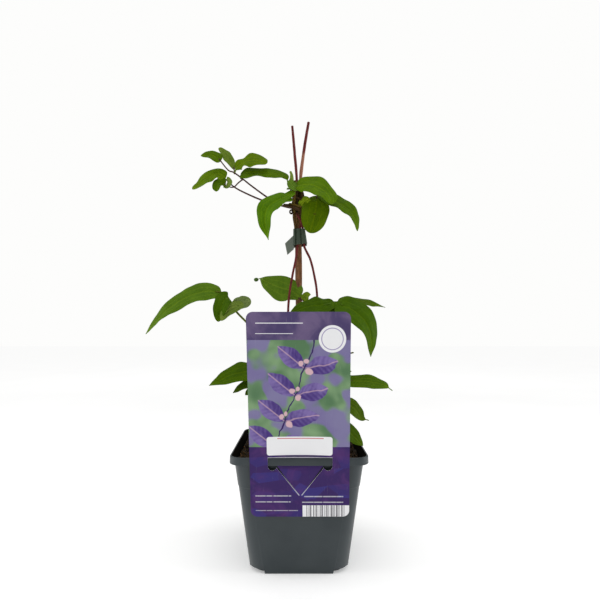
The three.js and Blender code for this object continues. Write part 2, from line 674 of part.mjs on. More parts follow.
function lowerLeftSpray() {
  const reach = [[-11.6, -5.2, 164], [-20, -8, 170], [-29, -12, 183], [-36, -14, 192], [-44, -18, 193]];
  const middle = [[-27, -11, 180], [-33, -15, 183.5], [-41, -19, 182.5]];
  const low = [[-22, -9, 172.5], [-32, -10.5, 173], [-40, -12.5, 171.8], [-45, -15.5, 171]];
  return spray([reach, middle, low], [
    {
      midrib: [[-37, -14.3, 192.8], [-53.5, -22, 191], [-71, -28, 186.5], [-89.5, -30, 177.5]],
      half: 13, base: [-5, 42], swell: [0.45, 0.9], wave: [0.08, 2.5, 0],
    },
    {
      midrib: [[-37, -17, 183], [-47.5, -22, 180], [-57.5, -26, 176], [-66, -28, 170]],
      half: 6, base: [-10, 45],
    },
    {
      midrib: [[-41, -13, 171.8], [-47, -17, 170.5], [-51, -20, 169.5], [-54.5, -22, 167]],
      half: 5, base: [-10, 30],
    },
  ]);
}

function rightLeaf() {
  return spray([[[17.2, 2, 165.5], [26, -2, 172], [37, -8, 180], [46, -11.5, 181.8], [55, -14, 180.6]]], [
    {
      midrib: [[41, -10, 182], [55, -14, 180.5], [73, -18, 180], [86.5, -21, 177], [95, -22, 171.5]],
      half: 8.5, base: [5, 40], fold: 8, swell: [0.55, 0.7], length: 0.88, wave: [0.09, 2.5, 1.5],
    },
  ]);
}

function rightLowerSpray() {
  const reach = [[13.8, 2.6, 140], [21, -4, 147], [30, -14, 158], [37, -20.5, 163], [44, -24.5, 161.5]];
  const low = [[24, -7.5, 150.5], [29, -18, 147], [34, -27, 143], [41, -33, 138.6]];
  return spray([reach, low], [
    {
      midrib: [[38, -21, 163], [49, -27, 159], [57, -30, 152.5], [63, -31, 145.5], [69.5, -31, 143]],
      half: 8.5, base: [20, 35], fold: 8, swell: [0.5, 0.8], length: 0.88,
    },
    {
      midrib: [[35.5, -28.5, 142], [46, -36, 135.5], [54.5, -40, 128], [62, -42, 120.5]],
      half: 9.5, base: [25, 35],
    },
  ]);
}

function backRightSpray() {
  const reach = [[21.2, -0.7, 205], [26, 8, 212], [30, 18, 219], [33, 27, 222], [35, 34, 220.5]];
  const side = [[30, 18, 219], [36, 18, 222.5], [42, 19, 222.5]];
  return spray([reach, side], [
    {
      midrib: [[32.6, 26, 221.9], [35, 37, 219], [35, 49, 208], [33, 57, 192]], half: 11.5, base: [170, 45],
      tip: [180, 5], swell: [0.48, 0.8], wave: [0.08, 2.5, 0.9],
    },
    {
      midrib: [[37, 18, 222.7], [44, 19.5, 222], [50, 22, 216], [53, 24, 208]],
      half: 7.5, base: [110, 50], tip: [110, 10],
    },
  ]);
}

function backLeftSpray() {
  const reach = [[-11.6, -4.8, 167], [-15, 5, 176], [-20, 16, 183], [-25, 25, 185], [-29, 32, 183]];
  const side = [[-17.5, 10.5, 180], [-25, 9, 184], [-33, 8.5, 184]];
  return spray([reach, side], [
    {
      midrib: [[-24.5, 24.5, 185], [-30, 34, 182], [-34, 44, 172], [-35, 52, 157]], half: 11, base: [200, 45],
      tip: [190, 5], swell: [0.5, 0.8], wave: [0.08, 2.5, 2],
    },
    {
      midrib: [[-30, 8.6, 184.3], [-38, 9.5, 183], [-44, 12, 176], [-47, 14, 167]],
      half: 8, base: [250, 50], tip: [250, 12],
    },
  ]);
}

const MATERIALS = {
  pot: { color: 0x3e4548, roughness: 0.5 },
  soil: { color: 0x2a2117, roughness: 1 },
  cane: { color: 0x6e4a30, roughness: 0.8 },
  stem: { color: 0x5c2e28, roughness: 0.7 },
  clip: { color: 0x3c4a3c, roughness: 0.45 },
  card: { color: 0x5b4a8a, roughness: 0.35 },
  leaf: { color: 0x4a7016, roughness: 0.5 },
};

const plant = new THREE.Group();

function add(name, material, body) {
  const surface = new THREE.MeshStandardMaterial({ ...MATERIALS[material], metalness: 0 });
  const mesh = new THREE.Mesh(geometryOf(body), surface);
  mesh.name = name;
  plant.add(mesh);
}

add('pot', 'pot', makePot());
add('soil', 'soil', makeSoil());
add('cane', 'cane', makeCane());
add('stem_a', 'stem', stem(STEM_A_ROUTE, STEM_A_JOINTS));
add('stem_b', 'stem', stem(STEM_B_ROUTE, STEM_B_JOINTS));
add('clip', 'clip', makeClip());
add('label', 'card', makeLabel());
add('upper_left_spray', 'leaf', upperLeftSpray());
add('hanging_leaf', 'leaf', hangingLeaf());
add('upper_right_leaf', 'leaf', upperRightLeaf());
add('right_hanging_spray', 'leaf', rightHangingSpray());
add('top_shoot', 'leaf', topShoot());
add('mid_left_spray', 'leaf', midLeftSpray());
add('mid_right_spray', 'leaf', midRightSpray());
add('left_spray', 'leaf', leftSpray());
add('lower_left_spray', 'leaf', lowerLeftSpray());
add('right_leaf', 'leaf', rightLeaf());
add('right_lower_spray', 'leaf', rightLowerSpray());
add('back_right_spray', 'leaf', backRightSpray());
add('back_left_spray', 'leaf', backLeftSpray());

export default plant;
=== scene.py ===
"""Dresses a young climbing clematis in a square nursery pot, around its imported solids.

Lengths are in millimetres until a mesh is made. +Z is up, +X is right, and the label faces -Y.
"""

import logging
import math
from collections.abc import Sequence
from dataclasses import dataclass, field
from enum import Enum
from functools import cache

import bpy
import numpy as np
from mathutils.geometry import delaunay_2d_cdt
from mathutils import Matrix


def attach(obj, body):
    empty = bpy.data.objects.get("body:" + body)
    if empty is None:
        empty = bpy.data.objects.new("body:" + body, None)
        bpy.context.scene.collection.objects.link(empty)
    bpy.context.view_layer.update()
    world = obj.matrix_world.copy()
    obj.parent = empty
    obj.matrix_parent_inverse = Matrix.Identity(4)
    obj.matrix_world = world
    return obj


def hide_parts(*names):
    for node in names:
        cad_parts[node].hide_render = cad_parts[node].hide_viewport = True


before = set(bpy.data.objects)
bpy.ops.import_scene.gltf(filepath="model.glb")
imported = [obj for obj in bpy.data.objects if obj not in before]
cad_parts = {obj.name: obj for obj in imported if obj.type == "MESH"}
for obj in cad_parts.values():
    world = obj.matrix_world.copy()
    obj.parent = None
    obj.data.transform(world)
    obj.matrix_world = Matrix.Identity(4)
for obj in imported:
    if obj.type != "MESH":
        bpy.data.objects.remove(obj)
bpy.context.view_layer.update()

MM = 0.001
TAU = 2 * math.pi
TINY = 1e-9
# Angles above a tube's end at which its cap has rings.
CAP_RISE = np.radians([35, 62, 80])
BODY = "root"

Array = np.ndarray
Colour = tuple[float, float, float]
Triple = tuple[float, float, float]
Box = tuple[float, float, float, float]
Route = Sequence[Sequence[float]]
Material = bpy.types.Material
NodeTree = bpy.types.NodeTree
Outputs = bpy.types.bpy_prop_collection
Socket = bpy.types.NodeSocket

log = logging.getLogger("clematis")


# ---------------------------------------------------------------- shapes


def linear(colour: Colour) -> tuple[float, float, float, float]:
    """A screen colour from 0 to 255 made linear: ((c + 0.055) / 1.055) ^ 2.4, or c / 12.92 when dark.

    Args:
        colour: Red, green and blue.

    Returns:
        The linear colour and a full alpha.
    """
    share = np.asarray(colour, float) / 255
    light = np.where(share <= 0.04045, share / 12.92, ((share + 0.055) / 1.055) ** 2.4)
    return (*light.tolist(), 1.0)


def unit(vectors: Array) -> Array:
    """Divides each vector by its length."""
    return vectors / np.maximum(np.linalg.norm(vectors, axis=-1, keepdims=True), TINY)


def spline(points: Route, shares: Array) -> Array:
    """A smooth curve through points.

    The Catmull-Rom cubic of four neighbours, with the end points mirrored outwards.

    Args:
        points: Places that the curve goes through.
        shares: Shares of the way along, 0 to 1.

    Returns:
        One row for each share.
    """
    knots = np.asarray(points, float)
    knots = np.vstack([2 * knots[0] - knots[1], knots, 2 * knots[-1] - knots[-2]])
    spans = len(knots) - 3
    place = np.clip(np.asarray(shares, float), 0, 1) * spans
    first = np.minimum(place.astype(int), spans - 1)
    f = (place - first)[:, None]
    a, b, c, d = (knots[first + k] for k in range(4))
    return 0.5 * (2 * b + (c - a) * f + (2 * a - 5 * b + 4 * c - d) * f**2 + (3 * b - a - 3 * c + d) * f**3)


def heading(points: Route, shares: Array, step: float = 1e-3) -> Array:
    """The curve's direction: the unit vector from a little before each share to a little after it."""
    return unit(spline(points, np.minimum(shares + step, 1)) - spline(points, np.maximum(shares - step, 0)))


def frames_across(along: Array) -> tuple[Array, Array]:
    """Two directions square to a path at each of its points.

    The first is the axis that the whole path leans to least, made square to the path; the second is
    the cross product of the path and the first.

    Args:
        along: The path's directions.

    Returns:
        The two sets of directions.
    """
    axis = np.linalg.eigh(along.T @ along)[1][:, 0]
    axis = axis * np.sign(axis[np.argmax(np.abs(axis))])
    first = unit(axis - (along @ axis)[:, None] * along)
    return first, np.cross(along, first)


def run_along(line: Array) -> Array:
    """The length of a line up to each of its points: the running sum of its steps."""
    return np.concatenate([[0], np.cumsum(np.linalg.norm(np.diff(line, axis=0), axis=1))])


def waviness(x: Array, y: Array, size: float, seed: int, waves: int = 14) -> Array:
    """Smooth irregular values about -1 to 1: the mean of cosines that run in seeded directions.

    Args:
        x: First coordinate.
        y: Second coordinate.
        size: Typical distance from crest to crest.
        seed: Picks the set of waves.
        waves: How many waves are summed.

    Returns:
        One value for each place.
    """
    rng = np.random.default_rng(seed)
    turn, phase = rng.uniform(0, TAU, waves), rng.uniform(0, TAU, waves)
    pitch = TAU / (size * rng.uniform(0.7, 1.5, waves))
    run = x[..., None] * (np.cos(turn) * pitch) + y[..., None] * (np.sin(turn) * pitch)
    level = 0.6 * math.sqrt(2 / waves)
    return np.cos(run + phase).sum(-1) * level


@dataclass
class Skin:
    """Corners, faces, marks on corners and finish numbers of one surface."""

    points: Array
    faces: list[Array]
    finish: list[int]
    marks: dict[str, Array] = field(default_factory=dict)

    def mark(self, name: str, value: Sequence[float]) -> "Skin":
        """Writes the same three numbers on every corner."""
        self.marks[name] = np.tile(np.asarray(value, float), (len(self.points), 1))
        return self


def joined(skins: Sequence[Skin]) -> Skin:
    """Puts skins side by side as one: corners are stacked, and each face's corner numbers are shifted.

    Args:
        skins: The skins, whose missing marks become zeros.

    Returns:
        One skin with all their finish numbers.
    """
    starts = np.cumsum([0] + [len(skin.points) for skin in skins])
    names = {name for skin in skins for name in skin.marks}
    marks = {
        name: np.vstack([skin.marks.get(name, np.zeros_like(skin.points)) for skin in skins])
        for name in names
    }
    faces = [block + start for skin, start in zip(skins, starts) for block in skin.faces]
    finish = [number for skin in skins for number in skin.finish]
    return Skin(np.vstack([skin.points for skin in skins]), faces, finish, marks)


def grid_quads(grid: Array) -> Array:
    """Quads of a grid of corner numbers: each corner, the next in its row, and the two of the row after."""
    return np.stack([grid[:-1, :-1], grid[:-1, 1:], grid[1:, 1:], grid[1:, :-1]], -1).reshape(-1, 4)


def ring_faces(rings: int, sides: int) -> Array:
    """Quads between neighbouring rings of corners, closed round: (r, s), (r, s+1), (r+1, s+1), (r+1, s)."""
    r, s = np.meshgrid(np.arange(rings - 1), np.arange(sides), indexing="ij")
    here, there = r * sides, (r + 1) * sides
    after = (s + 1) % sides
    return np.stack([here + s, here + after, there + after, there + s], -1).reshape(-1, 4)


def closed_rings(rings: Array) -> Skin:
    """A skin over rings of corners, closed at both ends by a fan round the ring's middle.

    Args:
        rings: Corners by ring and side, anticlockwise as seen against the way that the rings run.

    Returns:
        The closed skin: its wall, its first fan and its last fan.
    """
    count, sides = rings.shape[:2]
    points = np.vstack([rings.reshape(-1, 3), rings[0].mean(0), rings[-1].mean(0)])
    side = np.arange(sides)
    after = (side + 1) % sides
    low, high = count * sides, count * sides + 1
    first = np.stack([after, side, np.full(sides, low)], -1)
    last = np.stack([side + (count - 1) * sides, after + (count - 1) * sides, np.full(sides, high)], -1)
    return Skin(points, [ring_faces(count, sides), first, last], [0, 0, 0])


class End(Enum):
    """How a tube closes: its bulge as a share of its radius."""

    ROUND = 1.0
    CUT = 0.12


def tube(
    route: Route,
    radius: Array | float,
    sides: int = 10,
    steps: int = 24,
    ends: tuple[End, End] = (End.ROUND, End.ROUND),
    cut_finish: int | None = None,
) -> Skin:
    """A closed round skin along a route.

    Corner = place + radius (cos a first + sin a second); each end adds rings of radius (radius cos e),
    which lie (radius bulge sin e) beyond the end.

    Args:
        route: Places that the tube goes through.
        radius: One radius, or an array by step, or by step and side.
        sides: Corners round the tube.
        steps: Spans along the tube.
        ends: How the first and the last end close.
        cut_finish: Finish number of cut ends.

    Returns:
        The tube.
    """
    shares = np.linspace(0, 1, steps + 1)
    place, along = spline(route, shares), heading(route, shares)
    first, second = frames_across(along)
    rows = np.asarray(radius, float)
    thick = np.broadcast_to(rows if rows.ndim == 2 else rows.reshape(-1, 1), (steps + 1, sides))
    lead, tail = thick[0].mean() * ends[0].value, thick[-1].mean() * ends[1].value
    far, near, extra = np.sin(CAP_RISE)[:, None], np.cos(CAP_RISE)[:, None], len(CAP_RISE)
    place = np.vstack([place[0] - along[0] * lead * far[::-1], place, place[-1] + along[-1] * tail * far])
    first, second = (np.pad(side, ((extra, extra), (0, 0)), mode="edge") for side in (first, second))
    thick = np.vstack([thick[0] * near[::-1], thick, thick[-1] * near])
    angle = np.arange(sides) * TAU / sides
    across = np.cos(angle)[:, None] * first[:, None] + np.sin(angle)[:, None] * second[:, None]
    skin = closed_rings(place[:, None] + thick[..., None] * across)
    if cut_finish is not None:
        cap_faces = extra * sides
        skin.faces = [skin.faces[0][:-cap_faces], skin.faces[0][-cap_faces:], *skin.faces[1:]]
        skin.finish = [0, cut_finish, 0, cut_finish]
    return skin


def slab(upper: Array, lower: Array, finish: int = 0) -> Skin:
    """A closed thin body between two grids of corners that have the same rows and columns.

    Args:
        upper: Grid of the face that looks along the cross product of its rows and columns.
        lower: Grid of the other face.
        finish: Finish number.

    Returns:
        The closed skin, upper corners first.
    """
    rows, columns = upper.shape[:2]
    grid = np.arange(rows * columns).reshape(rows, columns)
    under = grid + rows * columns
    top = grid_quads(grid)
    bottom = np.stack([under[:-1, :-1], under[1:, :-1], under[1:, 1:], under[:-1, 1:]], -1).reshape(-1, 4)
    edge = np.concatenate([grid[0, :], grid[1:, -1], grid[-1, -2::-1], grid[-2:0:-1, 0]])
    far = edge + rows * columns
    ahead, far_ahead = np.roll(edge, -1), np.roll(far, -1)
    rim = np.stack([ahead, edge, far, far_ahead], -1)
    return Skin(np.vstack([upper.reshape(-1, 3), lower.reshape(-1, 3)]), [top, bottom, rim], [finish] * 3)


def lump(sides: int = 7, rings: int = 4) -> Skin:
    """A small round body of radius 1 with few faces: rings of corners at equal angles from pole to pole."""
    polar = np.linspace(0, math.pi, rings + 2)[1:-1]
    angle = np.arange(sides) * TAU / sides
    ring = np.stack([np.cos(angle), np.sin(angle)], -1)
    flat = np.sin(polar)[:, None, None] * ring
    rise = np.broadcast_to(-np.cos(polar)[:, None, None], (rings, sides, 1))
    skin = closed_rings(np.concatenate([flat, rise], -1))
    skin.points[-2:] = [[0, 0, -1], [0, 0, 1]]
    return skin


def turns(rng: np.random.Generator, count: int, lie: float = 1.0) -> Array:
    """Seeded rotation matrices: a full turn about Z after a tilt of up to lie half turns about X.

    Args:
        rng: Source of the angles.
        count: How many matrices.
        lie: Greatest tilt, in half turns.

    Returns:
        One matrix for each copy.
    """
    spin, tilt = rng.uniform(0, TAU, count), rng.uniform(-math.pi, math.pi, count) * lie
    zero, one = np.zeros(count), np.ones(count)
    (c, s), (d, t) = ((np.cos(angle), np.sin(angle)) for angle in (spin, tilt))
    about_z = np.array([[c, -s, zero], [s, c, zero], [zero, zero, one]])
    about_x = np.array([[one, zero, zero], [zero, d, -t], [zero, t, d]])
    return np.einsum("ijn,jkn->nik", about_z, about_x)


def strewn(
    shape: Skin, places: Array, sizes: Array, turned: Array, rng: np.random.Generator, rough: float
) -> Skin:
    """Copies of a small shape: corner = place + turn (size corner (1 + rough random)).

    Args:
        shape: The shape that is copied.
        places: One place for each copy.
        sizes: Three sizes for each copy.
        turned: One rotation matrix for each copy.
        rng: Source of the irregularity.
        rough: Greatest change of a corner's distance, as a share.

    Returns:
        All the copies as one skin, with the mark "seed": three random numbers for each copy.
    """
    count, corners = len(places), len(shape.points)
    bent = shape.points[None] * (1 + rough * rng.uniform(-1, 1, (count, corners, 1)))
    points = np.einsum("nij,ncj->nci", turned, bent * sizes[:, None]) + places[:, None]
    shift = (np.arange(count) * corners)[:, None, None]
    faces = [(block[None] + shift).reshape(-1, block.shape[1]) for block in shape.faces]
    seed = np.repeat(rng.uniform(0, 1, (count, 3)), corners, axis=0)
    return Skin(points.reshape(-1, 3), faces, list(shape.finish), {"seed": seed})


def plain_object(name: str, points: Array, faces: Sequence[Array]) -> bpy.types.Object:
    """Makes corners in millimetres and blocks of faces into an object at the origin.

    Args:
        name: The name of the object and its mesh.
        points: Corners in millimetres.
        faces: Blocks of corner numbers.

    Returns:
        The object.
    """
    mesh = bpy.data.meshes.new(name)
    mesh.from_pydata((points * MM).tolist(), [], [row for block in faces for row in block.tolist()])
    made = bpy.data.objects.new(name, mesh)
    bpy.context.scene.collection.objects.link(made)
    return made


def add_piece(
    name: str,
    skin: Skin,
    finishes: Sequence[Material],
    nodes: Sequence[str] = (),
    crease: float = 38,
) -> bpy.types.Object:
    """Makes a skin into an object that rides on the model's body.

    Args:
        name: The piece's name.
        skin: Its surface in millimetres.
        finishes: Materials by finish number.
        nodes: CAD nodes that it stands for.
        crease: Degrees past which an edge is shaded sharp.

    Returns:
        The object, at the origin with its place in its mesh.
    """
    made = plain_object(name, skin.points, skin.faces)
    mesh = made.data
    for label, values in skin.marks.items():
        layer = mesh.attributes.new(label, "FLOAT_VECTOR", "POINT")
        layer.data.foreach_set("vector", np.ascontiguousarray(values, np.float32).ravel())
    numbers = np.concatenate([np.full(len(block), number) for block, number in zip(skin.faces, skin.finish)])
    mesh.polygons.foreach_set("material_index", numbers.astype(np.int32))
    for finish in finishes:
        mesh.materials.append(finish)
    mesh.update()
    mesh.shade_smooth()
    mesh.set_sharp_from_angle(angle=math.radians(crease))
    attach(made, BODY)
    if nodes:
        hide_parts(*nodes)
    log.info("%s: %d corners, %d faces", name, len(mesh.vertices), len(mesh.polygons))
    return made


# ---------------------------------------------------------------- finishes


# Where slow noise starts and ends to show, then where a leaf's veins run: shares of its half width, how
# far they lean forwards for each millimetre sideways, and millimetres between cross veins.
DRIFT = (0.3, 0.7)
VEIN_SHARE = 0.46
OUTER_VEIN_SHARE = 0.8
VEIN_LEAN = 0.75
CROSS_VEIN_STEP = 5.2


class Graph:
    """Short forms for wiring the nodes of one tree."""

    def __init__(self, tree: NodeTree) -> None:
        """Keeps the tree."""
        self.tree = tree

    def node(
        self, kind: str, values: dict[str | int, object] | None = None, **settings: object
    ) -> bpy.types.Node:
        """Adds a shader node.

        Args:
            kind: Its type without the word ShaderNode.
            values: Numbers or sockets for its inputs.
            settings: Its own properties.

        Returns:
            The node.
        """
        made = self.tree.nodes.new("ShaderNode" + kind)
        for name, value in settings.items():
            setattr(made, name, value)
        for key, value in (values or {}).items():
            self.put(made.inputs[key], value)
        return made

    def put(self, socket: Socket, value: object) -> None:
        """Links a socket to an input, or sets the input to a value."""
        if isinstance(value, Socket):
            self.tree.links.new(value, socket)
        else:
            socket.default_value = value

    def math(self, operation: str, a: object, b: object = 0.0, clamp: bool = False) -> Socket:
        """One arithmetic step on two numbers."""
        return self.node("Math", {0: a, 1: b}, operation=operation, use_clamp=clamp).outputs[0]

    def add(self, a: object, b: object) -> Socket:
        """a + b."""
        return self.math("ADD", a, b)

    def sub(self, a: object, b: object) -> Socket:
        """a - b."""
        return self.math("SUBTRACT", a, b)

    def mul(self, a: object, b: object) -> Socket:
        """a times b."""
        return self.math("MULTIPLY", a, b)

    def top(self, a: object, b: object) -> Socket:
        """The greater of a and b."""
        return self.math("MAXIMUM", a, b)

    def size(self, a: object) -> Socket:
        """a without its sign."""
        return self.math("ABSOLUTE", a)

    def ramp(self, value: object, start: float, end: float, low: float = 0.0, high: float = 1.0) -> Socket:
        """A smooth step from low at start to high at end."""
        values = {0: value, 1: start, 2: end, 3: low, 4: high}
        return self.node("MapRange", values, interpolation_type="SMOOTHSTEP").outputs[0]

    def clamped(self, value: object) -> Socket:
        """A value kept between 0 and 1."""
        return self.math("ADD", value, 0.0, clamp=True)

    def mix(self, share: object, a: Socket | Colour, b: Socket | Colour, mode: str = "MIX") -> Socket:
        """Colour a, and by share colour b over it; colours given as three numbers are screen colours."""
        a, b = (linear(side) if isinstance(side, tuple) and len(side) == 3 else side for side in (a, b))
        return self.node("Mix", {0: share, 6: a, 7: b}, data_type="RGBA", blend_type=mode).outputs[2]

    def lit(self, colour: Socket, factors: Triple) -> Socket:
        """A colour with each of its channels multiplied."""
        return self.mix(1.0, colour, (*factors, 1.0), "MULTIPLY")

    def noise(
        self, place: Socket, scale: object, detail: float = 3, rough: float = 0.5, bend: float = 0.0
    ) -> Socket:
        """Cloudy noise, about 0.5 in the middle."""
        values = {"Vector": place, "Scale": scale, "Detail": detail, "Roughness": rough, "Distortion": bend}
        return self.node("TexNoise", values).outputs[0]

    def vector(self, operation: str, a: object, b: object = (0, 0, 0), output: str = "Vector") -> Socket:
        """One step on two vectors."""
        return self.node("VectorMath", {0: a, 1: b}, operation=operation).outputs[output]

    def stretched(self, place: Socket, scale: Triple) -> Socket:
        """A place multiplied axis by axis."""
        return self.vector("MULTIPLY", place, scale)

    def parts(self, vector: Socket) -> tuple[Socket, ...]:
        """The three numbers of a vector."""
        return tuple(self.node("SeparateXYZ", {0: vector}).outputs)

    def object_mm(self) -> Socket:
        """The place on the object, in millimetres."""
        return self.stretched(self.node("TexCoord").outputs["Object"], (1 / MM,) * 3)

    def mark(self, name: str) -> Socket:
        """A mark that the mesh carries."""
        return self.node("Attribute", attribute_name=name).outputs["Vector"]

    def colour_mark(self, name: str) -> Socket:
        """A mark read as a colour."""
        return self.node("Attribute", attribute_name=name).outputs["Color"]

    def group(self, tree: NodeTree, **values: object) -> Outputs:
        """Places a shared group and returns its outputs."""
        made = self.node("Group", node_tree=tree)
        for key, value in values.items():
            self.put(made.inputs[key], value)
        return made.outputs


class GroupGraph(Graph):
    """The nodes of one shared group, with its input sockets by name."""

    def __init__(self, name: str, **inputs: str) -> None:
        """Starts the group; each input is given as its kind: Float or Vector."""
        super().__init__(bpy.data.node_groups.new(name, "ShaderNodeTree"))
        for label, kind in inputs.items():
            self.tree.interface.new_socket(name=label, in_out="INPUT", socket_type="NodeSocket" + kind)
        self.given = self.tree.nodes.new("NodeGroupInput").outputs

    def closed(self, **outputs: Socket) -> NodeTree:
        """Feeds the group's outputs, all numbers, and returns its tree."""
        for label in outputs:
            self.tree.interface.new_socket(name=label, in_out="OUTPUT", socket_type="NodeSocketFloat")
        leave = self.tree.nodes.new("NodeGroupOutput")
        for label, socket in outputs.items():
            self.put(leave.inputs[label], socket)
        return self.tree


@cache
def grain_group() -> NodeTree:
    """Moulded or rough grain: two sizes of noise, as one height and one slow drift."""
    g = GroupGraph("moulded_grain", Place="Vector", Fine="Float", Broad="Float")
    fine = g.noise(g.given["Place"], g.given["Fine"], 4, 0.6)
    return g.closed(Height=fine, Drift=g.noise(g.given["Place"], g.given["Broad"], 2))


@cache
def wear_group() -> NodeTree:
    """Handling marks: thin scuffs from stretched noise, and specks of dust."""
    g = GroupGraph("rubs_and_dust", Place="Vector")
    place = g.given["Place"]
    slanted = g.node("Mapping", {"Vector": place, "Rotation": (0.3, 0.5, 0.9), "Scale": (0.9, 0.06, 0.12)})
    scuff = g.ramp(g.noise(slanted.outputs[0], 1.1, 4, 0.65), 0.62, 0.78)
    patch = g.ramp(g.noise(place, 0.05, 3, 0.6), 0.45, 0.7)
    return g.closed(Scuff=scuff, Dust=g.mul(g.ramp(g.noise(place, 1.6, 2, 0.7), 0.6, 0.75), patch))


@cache
def fibre_group() -> NodeTree:
    """Fibres that run up a stick: noise that is much longer along Z, as a height, with dark cracks."""
    g = GroupGraph("long_fibres", Place="Vector", Fine="Float")
    fine = g.noise(g.stretched(g.given["Place"], (1, 1, 0.07)), g.given["Fine"], 5, 0.6, 0.4)
    crack = g.noise(g.stretched(g.given["Place"], (1.1, 1.1, 0.035)), 1.3, 3, 0.55, 0.6)
    return g.closed(Height=fine, Crack=g.ramp(crack, 0.6, 0.7))


@cache
def vein_group() -> NodeTree:
    """A leaf's veins.

    The place holds the share across (-1 to 1), the millimetres along and the half width. The midrib is where
    the share is 0, two side veins follow fixed shares, cross veins leave the midrib forwards at equal steps
    along, and a fine network is the edges of a cell pattern.
    """
    g = GroupGraph("leaf_veins", Place="Vector")
    share, along, half = g.parts(g.given["Place"])
    aside = g.size(share)
    reach = g.mul(aside, half)
    flat = g.node("CombineXYZ", {0: g.mul(share, half), 1: along, 2: 0.0}).outputs[0]
    sway = g.sub(g.noise(flat, 0.22, 2, 0.5), 0.5)
    midrib = g.ramp(reach, 1.2, 0.3)
    inner = g.ramp(g.mul(g.size(g.add(g.sub(aside, VEIN_SHARE), g.mul(sway, 0.25))), half), 0.6, 0.12)
    outer = g.ramp(g.mul(g.size(g.add(g.sub(aside, OUTER_VEIN_SHARE), g.mul(sway, 0.2))), half), 0.5, 0.1)
    forward = g.math("DIVIDE", g.sub(along, g.mul(reach, VEIN_LEAN)), CROSS_VEIN_STEP)
    step = g.math("FRACT", g.add(forward, g.mul(sway, 1.6)))
    cross = g.ramp(g.mul(g.size(g.sub(step, 0.5)), CROSS_VEIN_STEP), 0.42, 0.08)
    cells = g.node("TexVoronoi", {"Vector": flat, "Scale": 0.42}, feature="DISTANCE_TO_EDGE")
    network = g.ramp(cells.outputs["Distance"], 0.16, 0.03)
    main = g.top(midrib, g.top(g.mul(inner, 0.8), g.mul(outer, 0.4)))
    fine = g.top(g.mul(cross, 0.8), g.mul(network, 0.5))
    return g.closed(Main=main, Network=fine, Height=g.add(main, g.mul(fine, 0.2)))


class Paint(Graph):
    """The nodes of one material round its Principled shader."""

    def __init__(self, name: str, roughness: float, shine: float) -> None:
        """Starts the material with the shader's roughness and specular level."""
        self.material = bpy.data.materials.new(name)
        self.material.use_nodes = True
        super().__init__(self.material.node_tree)
        self.shader = self.tree.nodes["Principled BSDF"].inputs
        self.shader["Roughness"].default_value = roughness
        self.shader["Specular IOR Level"].default_value = shine

    def grain(self, place: Socket, fine: float, broad: float) -> Outputs:
        """Places the grain group with its two scales."""
        return self.group(grain_group(), Place=place, Fine=fine, Broad=broad)

    def drift(self, grain: Outputs, low: float = 0.0, high: float = 1.0) -> Socket:
        """The grain's slow drift, from low to high."""
        return self.ramp(grain["Drift"], *DRIFT, low, high)

    def bump(self, height: Socket, strength: float, distance: float) -> None:
        """Feeds the shader's normal from a height; the distance is in millimetres."""
        values = {"Height": height, "Strength": strength, "Distance": distance * MM}
        self.put(self.shader["Normal"], self.node("Bump", values).outputs[0])

    def done(self, colour: Socket, roughness: Socket | None = None) -> Material:
        """Feeds the shader's colour and, where it varies, its roughness, and returns the material."""
        self.put(self.shader["Base Color"], colour)
        if roughness is not None:
            self.put(self.shader["Roughness"], roughness)
        return self.material


@dataclass(frozen=True)
class MouldedPlastic:
    """Satin moulded plastic with grain, scuffs and dust."""

    name: str
    colour: Colour
    scuffed: Colour
    dusty: Colour = (120, 112, 98)
    roughness: float = 0.42
    scuffs: float = 0.3
    dust: float = 0.25
    shine: float = 0.3

    def material(self) -> Material:
        """Builds the material."""
        g = Paint(self.name, self.roughness, self.shine)
        place = g.object_mm()
        grain = g.grain(place, 1.4, 0.03)
        wear = g.group(wear_group(), Place=place)
        base = g.mix(g.drift(grain, 0, 0.25), self.colour, self.scuffed)
        worn = g.mix(g.mul(wear["Scuff"], self.scuffs), base, self.scuffed)
        dusty = g.mix(g.mul(wear["Dust"], self.dust), worn, self.dusty)
        drift = g.drift(grain, self.roughness - 0.05, self.roughness + 0.07)
        g.bump(grain["Height"], 0.12, 0.12)
        return g.done(dusty, g.add(g.mul(wear["Dust"], 0.25), drift))


@dataclass(frozen=True)
class PottingSoil:
    """Damp potting compost: black-brown crumbs with rusty bits."""

    name: str = "potting_soil"
    dark: Colour = (16, 13, 8)
    brown: Colour = (50, 40, 24)
    rusty: Colour = (128, 84, 44)

    def material(self) -> Material:
        """Builds the material."""
        g = Paint(self.name, 0.9, 0.1)
        place = g.object_mm()
        grain = g.grain(place, 0.9, 0.14)
        base = g.mix(g.ramp(grain["Height"], 0.38, 0.66), self.dark, self.brown)
        bits = g.ramp(g.noise(g.stretched(place, (0.6, 1.0, 1.0)), 0.8, 1, 0.5), 0.64, 0.7)
        g.bump(grain["Height"], 0.6, 0.8)
        return g.done(g.mix(bits, base, self.rusty), g.drift(grain, 0.8, 1.0))


@dataclass(frozen=True)
class CrumbFinish:
    """Loose bits of one kind: the mark "seed" moves each bit between two colours."""

    name: str
    dark: Colour
    light: Colour
    roughness: float = 0.85

    def material(self) -> Material:
        """Builds the material."""
        g = Paint(self.name, self.roughness, 0.1)
        pick = g.parts(g.mark("seed"))[0]
        place = g.object_mm()
        fibres = g.group(fibre_group(), Place=g.stretched(place, (1, 0.4, 4)), Fine=1.2)
        shade = g.add(g.mul(pick, 0.7), g.mul(g.sub(fibres["Height"], 0.5), 0.9))
        g.bump(fibres["Height"], 0.5, 0.3)
        return g.done(g.mix(g.ramp(shade, 0, 0.8), self.dark, self.light))


